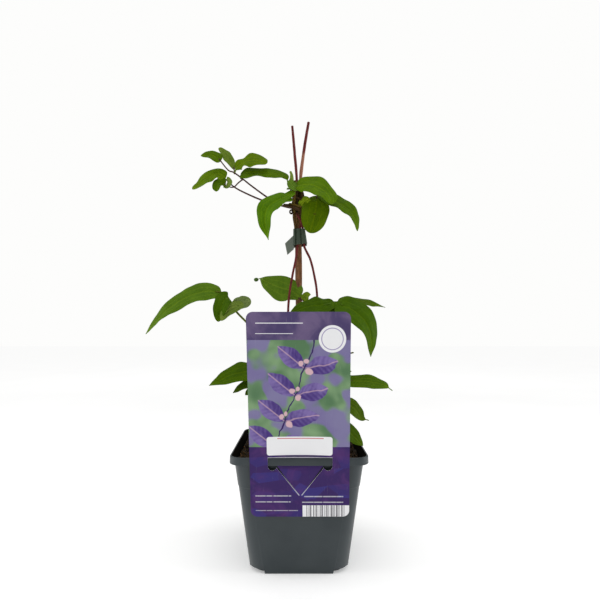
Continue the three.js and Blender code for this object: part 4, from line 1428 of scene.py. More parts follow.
@dataclass
class Stem:
    """One vine: its route, joints and the heights where its bark is old or peeled."""

    name: str
    node: str
    route: Route
    joints: Sequence[Joint]
    old: tuple[float, float]
    peeled: tuple[float, float]
    seed: int
    radius: float = 1.2
    rib: float = 0.05
    fade: float = 5
    steps: int = 420
    sides: int = 14

    def skin(self) -> Skin:
        """A tube with soft ribs: radius (1 + rib cos 6a) plus a bell at each joint and fine waviness."""
        share = np.linspace(0, 1, self.steps + 1)
        z = spline(self.route, share)[:, 2]
        angle = np.arange(self.sides) * TAU / self.sides
        ribs = 1 + self.rib * np.cos(6 * angle[None] + z[:, None] * 0.02)
        fine = waviness(*np.broadcast_arrays(angle[None] * 2, z[:, None] * 0.25), 3, self.seed)
        ribs = ribs + self.rib * fine
        swell = sum(joint.out * np.exp(-(((z - joint.z) / joint.reach) ** 2)) for joint in self.joints)
        radius = self.radius * ribs + swell[:, None]
        skin = tube(self.route, radius, self.sides, self.steps, (End.CUT, End.CUT), cut_finish=1)
        age, peel = (self.between(skin.points[:, 2], span) for span in (self.old, self.peeled))
        skin.marks["bark"] = np.stack([age, peel, 0 * age], -1)
        return skin

    def between(self, z: Array, span: tuple[float, float]) -> Array:
        """1 between two heights, fading in and out over a short way."""
        low, high = (np.clip(depth / self.fade, 0, 1) for depth in (z - span[0], span[1] - z))
        return low * high


@dataclass
class Strand:
    """A strand of old bark at the joint: its route, thickness, and how old and how green it is."""

    route: Route
    radius: float
    old: float = 1.0
    green: float = 0.0
    uneven: float = 0.14
    sides: int = 9

    def skin(self, seed: int) -> Skin:
        """A tube whose radius wavers by about a seventh along and round it.

        Args:
            seed: Picks its irregularities.

        Returns:
            The tube, with the mark "bark".
        """
        steps = 10 * len(self.route)
        angle = (np.arange(self.sides) * TAU / self.sides)[None]
        run = np.linspace(0, 1, steps + 1)[:, None]
        uneven = 1 + self.uneven * waviness(*np.broadcast_arrays(1.5 * angle, 8 * run), 3, seed)
        skin = tube(self.route, self.radius * uneven, self.sides, steps)
        return skin.mark("bark", (self.old, 0, self.green))


STRANDS: tuple[Strand, ...] = (
    Strand(((-3.4, -5, 340), (-4.4, -5.8, 349), (-5.4, -6.6, 358), (-5.2, -6.8, 366)), 1.6, 0.6, 0.35),
    Strand(((-5, -6.8, 358), (-5.4, -7.2, 366), (-5, -7.4, 374), (-4.4, -7, 382), (-4, -6, 389)), 2.0, 0.45,
        0.6),
    Strand(((-1.6, -5, 366), (-1.8, -5.4, 374), (-1.4, -5.4, 382), (-1.6, -4.6, 389)), 2.0, 1, 0),
    Strand(((3.4, -5.4, 354), (4.1, -6.2, 364), (3.5, -6.4, 373), (3.1, -6, 382), (3.8, -5, 388)), 1.8, 0.9,
        0.1),
    Strand(((1, -4.4, 362), (1.2, -4.4, 372), (0.8, -4.4, 382), (1, -3.8, 388)), 1.5),
    Strand(((-15, -4.6, 365), (-7.5, -8.4, 362.4), (-0.5, -10.2, 359.2), (5.4, -9, 355.8)), 1.9, 0.85, 0.1),
    Strand(((-9.5, -7.4, 365.6), (-3.5, -9.6, 363.6), (2.8, -9.6, 361.4), (6.5, -7.4, 360.2)), 1.3, 0.4,
        0.75),
    Strand(((-6.4, -3, 375), (-3, -8, 372.6), (2.4, -8, 369.4), (5.8, -3.4, 366.6)), 0.9, 0.9, 0.1),
    Strand(((-5, -7.6, 360), (-7.4, -8.2, 359.2), (-9.2, -8.4, 358), (-9.2, -8.4, 356), (-7.8, -8.3, 355.2),
        (-6.7, -8.1, 356.4), (-6.9, -8, 357.8)), 0.85),
    Strand(((5.4, -6.8, 359), (7, -7.4, 356.4), (6.8, -6.8, 352.2)), 1.0, 0.7, 0.2),
)


@dataclass
class Stems:
    """The two vines, and the old bark, shreds and hairs at the joint where the leaves grow."""

    pair: Sequence[Stem] = (
        Stem("stem_left", "stem_a", ((-7, -3, 86), (-7, -3, 102), (-11, -4, 150), (-12.5, -8, 212),
            (-10.5, -10, 264), (-6.5, -9, 291), (-3.5, -7.2, 306), (-1.3, -6.3, 322), (0.6, -5.7, 338),
            (3.4, -5.3, 350), (5.2, -3.6, 361), (4.6, -2, 376), (1.7, 0.6, 391), (5.3, 2, 424),
            (10.5, 4, 457)), (Joint(165), Joint(217), Joint(364), Joint(402, 0.35, 9), Joint(425, 0.4, 34)),
            (353, 388), (389, 425), 31),
        Stem("stem_right", "stem_b", ((7, 3, 86), (7, 3, 102), (15.5, 2.5, 150), (21.5, -1, 212),
            (19.5, -3, 268), (16.5, -4.4, 290), (12, -5, 308), (5.5, -5.8, 322), (4.9, -6.6, 334),
            (2.6, -8.7, 346), (-1.5, -7.8, 354), (-4.4, -6.2, 362), (-5.3, -4, 375), (-2.2, -2.3, 391),
            (-4.5, -2, 422), (-7, -3, 449.5)),
            (Joint(140), Joint(165), Joint(205), Joint(263), Joint(378), Joint(415, 0.25, 28)), (352, 388),
            (500, 510), 32),
    )
    strands: Sequence[Strand] = STRANDS
    fibres: int = 30

    def build(self) -> None:
        """Makes both vines, the old bark and the shreds."""
        bark = StemBark().material()
        pith = CrumbFinish("cut_pith", (150, 116, 84), (196, 164, 126)).material()
        for stem in self.pair:
            add_piece(stem.name, stem.skin(), [bark, pith], [stem.node], 50)
        wraps = joined([strand.skin(60 + number) for number, strand in enumerate(self.strands)])
        add_piece("old_bark", wraps, [bark])
        shred = CrumbFinish("bark_shred", (46, 30, 20), (112, 84, 46)).material()
        add_piece("joint_shreds", self.shreds(), [shred])

    def shreds(self) -> Skin:
        """Thin curved hairs that start on a stem near the upper joints and bend away from it."""
        rng = np.random.default_rng(41)
        hairs = []
        for number in range(self.fibres):
            stem = self.pair[number % 2]
            share = rng.uniform(0.72, 0.78)
            start = spline(stem.route, np.array([share]))[0]
            turn, length = rng.uniform(0, TAU), rng.uniform(1.4, 3.4)
            away = np.array([math.cos(turn), math.sin(turn), rng.uniform(-0.8, 1.2)])
            first = start + away * [0.9, 0.9, 0.3]
            last = first + away * length * 0.7 + [0, 0, rng.uniform(-1.5, 1)]
            hair = tube([first, first + away * length * 0.4, last], np.linspace(0.25, 0.1, 7), 5, 6)
            hairs.append(hair.mark("seed", rng.uniform(0, 1, 3)))
        return joined(hairs)


@dataclass
class Clip:
    """The open band round cane and stems, with its flag-shaped grip."""

    left: float = -5.9
    right: float = 8.8
    front: float = -10.4
    back: float = 5.3
    low: float = 321.8
    height: float = 17.4
    thickness: float = 1.1
    corner: float = 2.4
    mouth: float = 2.2
    flag: Route = ((-14.5, 324), (-5.2, 333), (-5.2, 318), (-12, 312))
    flag_front: float = -8.4
    grooves: tuple[float, ...] = (-3.1, 2.4)
    groove_depth: float = 1.7
    groove_half: float = 0.75
    lean: float = 2.3
    slant: float = 2.2
    edge: float = 0.35
    path_points: int = 90
    corner_points: int = 8
    grip_points: int = 16
    shaded_from: int = 6
    shaded_to: int = 8

    def path(self) -> Array:
        """The band's middle line from one side of the mouth round the front to the other."""
        t, c = self.thickness / 2, self.corner
        r, back = c - t, self.back - t
        left, right, front, rear = self.left + c, self.right - c, self.front + c, self.back - c
        centres = np.array([[right, rear], [right, front], [left, front], [left, rear]])
        begin = np.radians([90, 0, -90, -180])
        angle = begin[:, None] - np.linspace(0, math.pi / 2, self.corner_points)[None]
        arcs = centres[:, None] + r * np.stack([np.cos(angle), np.sin(angle)], -1)
        gap = self.mouth / 2
        chain = np.vstack([[[gap, back]], arcs.reshape(-1, 2), [[-gap, back]]])
        length = run_along(chain)
        even = np.unique(np.concatenate([np.linspace(0, length[-1], self.path_points), length]))
        return np.stack([np.interp(even, length, chain[:, k]) for k in range(2)], -1)

    def band(self) -> Skin:
        """A rounded rectangle carried along the path: place + across (offset + groove) normal + up.

        The right side leans in towards the top, and the foot climbs from left to right. Its inner faces take
        a near-black painted-shade finish.
        """
        path = self.path()
        along = unit(np.gradient(path, axis=0))
        normal = np.stack([-along[:, 1], along[:, 0]], -1)
        t, h, r = self.thickness / 2, self.height / 2, self.edge
        quarter = np.arange(4)[:, None]
        angle = (quarter + np.linspace(0, 1, 4)[None]) * math.pi / 2
        side = np.where((quarter == 0) | (quarter == 3), 1, -1) * (t - r) + r * np.cos(angle)
        rise = np.where(quarter < 2, 1, -1) * (h - r) + r * np.sin(angle)
        side, rise = side.ravel(), rise.ravel()
        front = path[:, 1] < self.front + 1.5
        dip = sum(np.exp(-(((path[:, 0] - x) / self.groove_half) ** 2)) for x in self.grooves)
        grooves = np.where(front, -self.groove_depth * dip, 0.0)
        flat = path[:, None] + (side[None] + grooves[:, None])[..., None] * normal[:, None]
        lift = np.broadcast_to((rise + h) / self.height, flat.shape[:2])
        right = np.clip(flat[..., 0] / self.right, 0, 1)
        over = (flat[..., 0] - self.left) / (self.right - self.left)
        x = flat[..., 0] - self.lean * right * lift
        z = self.low + self.height * lift + self.slant * over * (1 - lift)
        skin = closed_rings(np.stack([x, flat[..., 1], z], -1)[:, ::-1])
        # Faces on the band's inner side take finish 2, near-black painted shade.
        number = np.arange(len(skin.faces[0])) % len(side)
        shaded_faces = (number >= self.shaded_from) & (number <= self.shaded_to)
        skin.faces = [skin.faces[0][~shaded_faces], skin.faces[0][shaded_faces], *skin.faces[1:]]
        skin.finish = [0, 2, 0, 0]
        return skin

    def grip(self) -> Skin:
        """A bent plate: the even blend of the flag's four corners, thinner at its edges."""
        a, b, c, d = (np.array(p, float) for p in self.flag)
        even = np.linspace(0, 1, self.grip_points)
        u, v = (side[..., None] for side in np.meshgrid(even, even, indexing="ij"))
        flat = (a * (1 - u) + b * u) * (1 - v) + (d * (1 - u) + c * u) * v
        rim = np.maximum(np.abs(2 * u - 1), np.abs(2 * v - 1))[..., 0]
        half = self.thickness / 2 * np.sqrt(np.clip(1.02 - rim**10, 0.15, 1))
        middle = self.flag_front + self.thickness / 2 + 0.5 * np.sin(math.pi * v[..., 0]) * (1 - u[..., 0])
        near = np.stack([flat[..., 0], middle - half, flat[..., 1]], -1)
        far = np.stack([flat[..., 0], middle + half, flat[..., 1]], -1)
        return slab(near, far, 1)

    def build(self) -> None:
        """Makes the band and the grip."""
        finishes = [
            MouldedPlastic("clip_plastic", (50, 62, 48), (84, 96, 84), roughness=0.45, scuffs=0.5),
            # The grip is the band's plastic painted lighter: painted light where light falls on its flat
            # face.
            MouldedPlastic("grip_plastic_painted_light", (94, 102, 92), (122, 128, 120), roughness=0.4, scuffs=0.6),
            # Near-black painted shade for the band's inside, with a little dust.
            MouldedPlastic("clip_inside_painted_shade", (12, 15, 11), (26, 30, 24), (40, 36, 28), roughness=0.8, dust=0.4),
        ]
        skin = joined([self.band(), self.grip()])
        add_piece("clip_band", skin, [finish.material() for finish in finishes], ["clip"], 45)


# ---------------------------------------------------------------- label


@dataclass
class Label:
    """The hang-on card: a bent plate with a slot and a tongue, printed in front."""

    left: float = -45.6
    right: float = 45.6
    low: float = 58.9
    high: float = 247.5
    print_foot: float = 59.8
    corner: float = 6
    thickness: float = 0.75
    roll: float = -0.009
    slope: float = -0.146
    y_at_rim: float = -65.9
    rim_z: float = 112
    slot_left: float = -29
    slot_right: float = 30
    slot_top: float = 115.6
    lobe_z: float = 107.5
    lobe: float = 4
    tongue_top: float = 110.8
    tongue_point: float = 79
    neck: float = 1.8
    tuck: float = 3.2
    kerf: float = 0.12
    dent: float = 2.2
    dent_height: float = 45
    grid: float = 2.2

    @property
    def middle(self) -> float:
        """Half way along the slot."""
        return (self.slot_left + self.slot_right) / 2

    def arc(self, x: float, z: float, radius: float, start: float, stop: float, steps: int = 10) -> Array:
        """Points on a circle, its angles in half turns."""
        angle = np.linspace(start, stop, steps + 1) * math.pi
        return np.stack([x + radius * np.cos(angle), z + radius * np.sin(angle)], -1)

    def outline(self) -> Array:
        """The card's round-cornered edge, anticlockwise."""
        r = self.corner
        return np.vstack([
            self.arc(self.right - r, self.low + r, r, -0.5, 0),
            self.arc(self.right - r, self.high - r, r, 0, 0.5),
            self.arc(self.left + r, self.high - r, r, 0.5, 1),
            self.arc(self.left + r, self.low + r, r, 1, 1.5),
        ])

    def hole(self) -> Array:
        """The slot, its two lobes and the two cuts of the tongue, as one closed line."""
        left, right = self.slot_left + self.lobe, self.slot_right - self.lobe
        near, far = left + self.lobe + self.kerf, right - self.lobe - self.kerf
        neck = self.tongue_point + 2
        return np.vstack([
            [[self.slot_left, self.slot_top]],
            self.arc(left, self.lobe_z, self.lobe, 1, 1.9),
            [[self.middle - self.neck - self.kerf, neck], [self.middle - self.neck, neck]],
            [[near, self.lobe_z], [near, self.tongue_top], [far, self.tongue_top], [far, self.lobe_z]],
            [[self.middle + self.neck, neck], [self.middle + self.neck + self.kerf, neck]],
            self.arc(right, self.lobe_z, self.lobe, 1.1, 2),
            [[self.slot_right, self.slot_top]],
        ])

    def bend(self, x: Array, z: Array) -> Array:
        """How far the card lies behind its plane: the tongue tucks in, the middle sags above the slot.

        Args:
            x: Millimetres to the right.
            z: Heights.

        Returns:
            Millimetres to the back.
        """
        climb = (z - self.tongue_point) / (self.lobe_z - self.tongue_point)
        reach = (self.slot_right - self.slot_left) / 2 - 2 * self.lobe + self.kerf / 2
        inside = (climb > 0) & (z < self.tongue_top + 0.1)
        inside &= np.abs(x - self.middle) < reach * np.minimum(climb, 1) + self.kerf / 2
        tuck_share = np.maximum(z - self.tongue_point, 0) / (self.tongue_top - self.tongue_point)
        tongue = self.tuck * tuck_share**4
        across = np.maximum(0, 1 - (x / self.slot_left) ** 2)
        sag = self.dent * across * np.exp(-(((z - self.slot_top) / self.dent_height) ** 2))
        return np.where(inside, tongue, np.where(z < self.slot_top - 0.1, 0, sag))

    @staticmethod
    def within(points: Array, edge: Array) -> Array:
        """Whether points lie inside a closed line: a ray to the right crosses it an odd number of times.

        Args:
            points: The points.
            edge: The line's corners.

        Returns:
            True for those inside.
        """
        ahead = np.roll(edge, -1, axis=0)
        y = points[:, 1, None]
        spans = (edge[None, :, 1] > y) != (ahead[None, :, 1] > y)
        rise = np.where(ahead[:, 1] == edge[:, 1], 1.0, ahead[:, 1] - edge[:, 1])
        cross = edge[:, 0] + (y - edge[:, 1]) / rise * (ahead[:, 0] - edge[:, 0])
        return (spans & (points[:, 0, None] < cross)).sum(1) % 2 == 1

    def plate(self) -> Skin:
        """Triangles inside the edge and outside the slot, as a front and a back joined by their rims."""
        outline, hole = self.outline(), self.hole()
        columns, rows = np.arange(self.left, self.right, self.grid), np.arange(self.low, self.high, self.grid)
        x, z = np.meshgrid(columns, rows)
        inner = np.stack([x.ravel(), z.ravel()], -1)
        inner = inner[self.within(inner, outline) & ~self.within(inner, hole)]
        ties = [
            [i + start, (i + 1) % len(line) + start]
            for line, start in ((outline, 0), (hole, len(outline))) for i in range(len(line))
        ]
        corners, _, faces, *_ = delaunay_2d_cdt(np.vstack([outline, hole, inner]).tolist(), ties, [], 0, 1e-5)
        flat, faces = np.array([tuple(p) for p in corners]), np.array(faces)
        centre = flat[faces].mean(1)
        faces = faces[self.within(centre, outline) & ~self.within(centre, hole)]
        a, b, c = (flat[faces[:, k]] for k in range(3))
        turned = (b[:, 0] - a[:, 0]) * (c[:, 1] - a[:, 1]) - (b[:, 1] - a[:, 1]) * (c[:, 0] - a[:, 0]) < 0
        faces[turned] = faces[turned][:, ::-1]
        count = len(flat)
        sides = np.vstack([faces[:, [0, 1]], faces[:, [1, 2]], faces[:, [2, 0]]])
        known = set(map(tuple, sides.tolist()))
        rim = np.array([side for side in sides.tolist() if (side[1], side[0]) not in known])
        edge = np.stack([rim[:, 1], rim[:, 0], rim[:, 0] + count, rim[:, 1] + count], -1)
        y = self.y_at_rim + self.slope * (flat[:, 1] - self.rim_z) + self.bend(flat[:, 0], flat[:, 1])
        place = flat[:, 0] + self.roll * (flat[:, 1] - (self.low + self.high) / 2)
        front = np.stack([place, y - self.thickness / 2, flat[:, 1]], -1)
        back = np.stack([place, y + self.thickness / 2, flat[:, 1]], -1)
        skin = Skin(np.vstack([front, back]), [faces, faces[:, ::-1] + count, edge], [0, 1, 2])
        printed = np.stack([flat[:, 0], flat[:, 1] - self.print_foot, 0 * y], -1)
        skin.marks["print"] = np.vstack([printed, printed])
        return skin

    def build(self) -> None:
        """Makes the card."""
        finishes = [
            LabelPrint().material(),
            CardPaper("card_back", (226, 226, 224), (206, 206, 204)).material(),
            CardPaper("card_edge", (214, 214, 216), (190, 188, 194)).material(),
        ]
        add_piece("hang_label", self.plate(), finishes, ["label"], 30)


# ---------------------------------------------------------------- leaves


@dataclass(frozen=True)
class Relief:
    """How a leaf's surface departs from its smooth solid: depths, half widths and pitches in millimetres."""

    midrib: float = 0.3
    midrib_half: float = 0.6
    side_vein: float = 0.18
    side_vein_half: float = 0.55
    pucker: float = 0.2
    pucker_pitch: float = 7
    rough: float = 0.4
    rough_size: float = 14
    full_from: float = 5
    edge_size: float = 9
    thin_edge: float = 0.55


@dataclass
class Blade:
    """One leaf blade along its midrib, in the same terms as its solid.

    Half width = half (share / widest)^grow ((1 - share) / (1 - widest))^fall. The face turns from base to
    tip, both given as a turn to the right of the front and a lean upwards. The halves fold up by fold
    degrees, the camber lets the edges droop again, and wave holds the swing, count and phase of ripples
    along them.
    """

    midrib: Route
    half: float
    base: tuple[float, float]
    tip: tuple[float, float] | None = None
    fold: float = 10
    swell: tuple[float, float] = (0.55, 0.85)
    length: float = 1.0
    wave: tuple[float, float, float] = (0.07, 2, 0)
    camber: float = 0.12
    tone: Colour = (66, 96, 18)
    dull: float = 0.6
    uneven: float = 0.05
    thickness: float = 0.45
    relief: Relief = Relief()
    rows: int = 54
    columns: int = 26

    @staticmethod
    def facing(turn: Array, lean: Array) -> Array:
        """The direction (sin t cos l, -cos t cos l, sin l) for a turn t and a lean l in degrees."""
        t, l = np.radians(turn), np.radians(lean)
        return np.stack([np.sin(t) * np.cos(l), -np.cos(t) * np.cos(l), np.sin(l)], -1)

    def half_width(self, s: Array) -> Array:
        """The blade's half width along its midrib, never under half a millimetre.

        Args:
            s: Shares of the way along.

        Returns:
            One half width for each share.
        """
        grow, fall = self.swell
        widest = grow / (grow + fall)
        share = np.clip(np.maximum(s, 0.001) / self.length, 0.001, 0.999)
        half = self.half * (share / widest) ** grow * ((1 - share) / (1 - widest)) ** fall
        return np.maximum(half, 0.5)

    def skin(self, seed: int) -> Skin:
        """The blade as a thin slab with sunk veins and puckers between them.

        Args:
            seed: Picks the leaf's own irregularities.

        Returns:
            The slab, with the marks "blade", "side" and "tone".
        """
        even = np.linspace(0, 1, self.rows + 1)
        s = 0.65 * even + 0.35 * (0.5 - 0.5 * np.cos(math.pi * even))
        line, along = spline(self.midrib, s), heading(self.midrib, s)
        tip = self.tip or self.base
        up = self.facing(*(start + (stop - start) * s for start, stop in zip(self.base, tip)))
        up = unit(up - (up * along).sum(1, keepdims=True) * along)
        side = np.cross(along, up)
        half = self.half_width(s)[:, None]
        across = np.linspace(-1, 1, self.columns + 1)[None]
        sign = np.sign(across)
        swing, count, phase = self.wave
        ripple = swing * across**2 * np.sin(TAU * count * s[:, None] + phase + 1.3 * sign)
        slant = math.radians(self.fold)
        lift = half * (np.abs(across) * math.sin(slant) - self.camber * across**2 + ripple)
        run = run_along(line)[:, None]
        relief, broad = self.relief, np.minimum(1, half / self.relief.full_from)
        edge_run = np.broadcast_arrays(s[:, None] * 24 + 100 * sign, float(seed))
        edge = 1 + self.uneven * waviness(*edge_run, relief.edge_size, seed)
        reach = np.abs(across) * half
        from_vein = (np.abs(across) - VEIN_SHARE) * half
        veins = relief.midrib * np.exp(-((reach / relief.midrib_half) ** 2))
        veins = veins + relief.side_vein * np.exp(-((from_vein / relief.side_vein_half) ** 2))
        swells = np.sin(TAU * (run - VEIN_LEAN * reach) / relief.pucker_pitch + 2 * sign)
        pucker = relief.pucker * swells * np.sin(math.pi * np.clip(2 * np.abs(across), 0, 1))
        rough = relief.rough * waviness(*np.broadcast_arrays(across * half, run), relief.rough_size, seed + 1)
        lift = lift + broad * (pucker + rough) - veins * broad
        middle = line[:, None] + side[:, None] * (across * half * edge * math.cos(slant))[..., None]
        thick = self.thickness / 2 * (1 - relief.thin_edge * across**6)
        skin = slab(*(middle + up[:, None] * (lift + way * thick)[..., None] for way in (1, -1)))
        place = np.stack(np.broadcast_arrays(across, run, half), -1).reshape(-1, 3)
        skin.marks["blade"] = np.vstack([place, place])
        skin.marks["side"] = np.repeat([[1, self.dull, 0], [0, self.dull, 0]], len(place), axis=0)
        skin.mark("tone", linear(self.tone)[:3])
        return skin


@dataclass
class Stalk:
    """A leaf stalk: its route, thickness at both ends and colour."""

    route: Route
    root: float = 0.85
    end: float = 0.7
    tone: Colour = (74, 50, 42)
    fuller: float = 1.12
    foot: float = 0.35
    foot_share: float = 0.05

    def skin(self) -> Skin:
        """A tube whose radius runs evenly from root to end, with a slight foot where it leaves its bearer."""
        steps = 8 * len(self.route)
        share = np.linspace(0, 1, steps + 1)
        foot = self.foot * np.exp(-((share / self.foot_share) ** 2))
        radius = self.fuller * (self.root + (self.end - self.root) * share) + foot
        skin = tube(self.route, radius, 9, steps)
        skin.finish = [1] * len(skin.finish)
        return skin.mark("tone", linear(self.tone)[:3])


@dataclass
class Spray:
    """Leaves that grow together: their stalks and blades, as one piece."""

    name: str
    node: str
    stalks: Sequence[Stalk]
    blades: Sequence[Blade]

    def skin(self, seed: int) -> Skin:
        """All its stalks and blades."""
        leaves = [blade.skin(seed + 7 * number) for number, blade in enumerate(self.blades)]
        return joined([*leaves, *[stalk.skin() for stalk in self.stalks]])


PURPLE: Colour = (66, 42, 38)
OLIVE: Colour = (88, 92, 34)
GREEN: Colour = (92, 118, 34)
SPRING: Colour = (110, 136, 62)

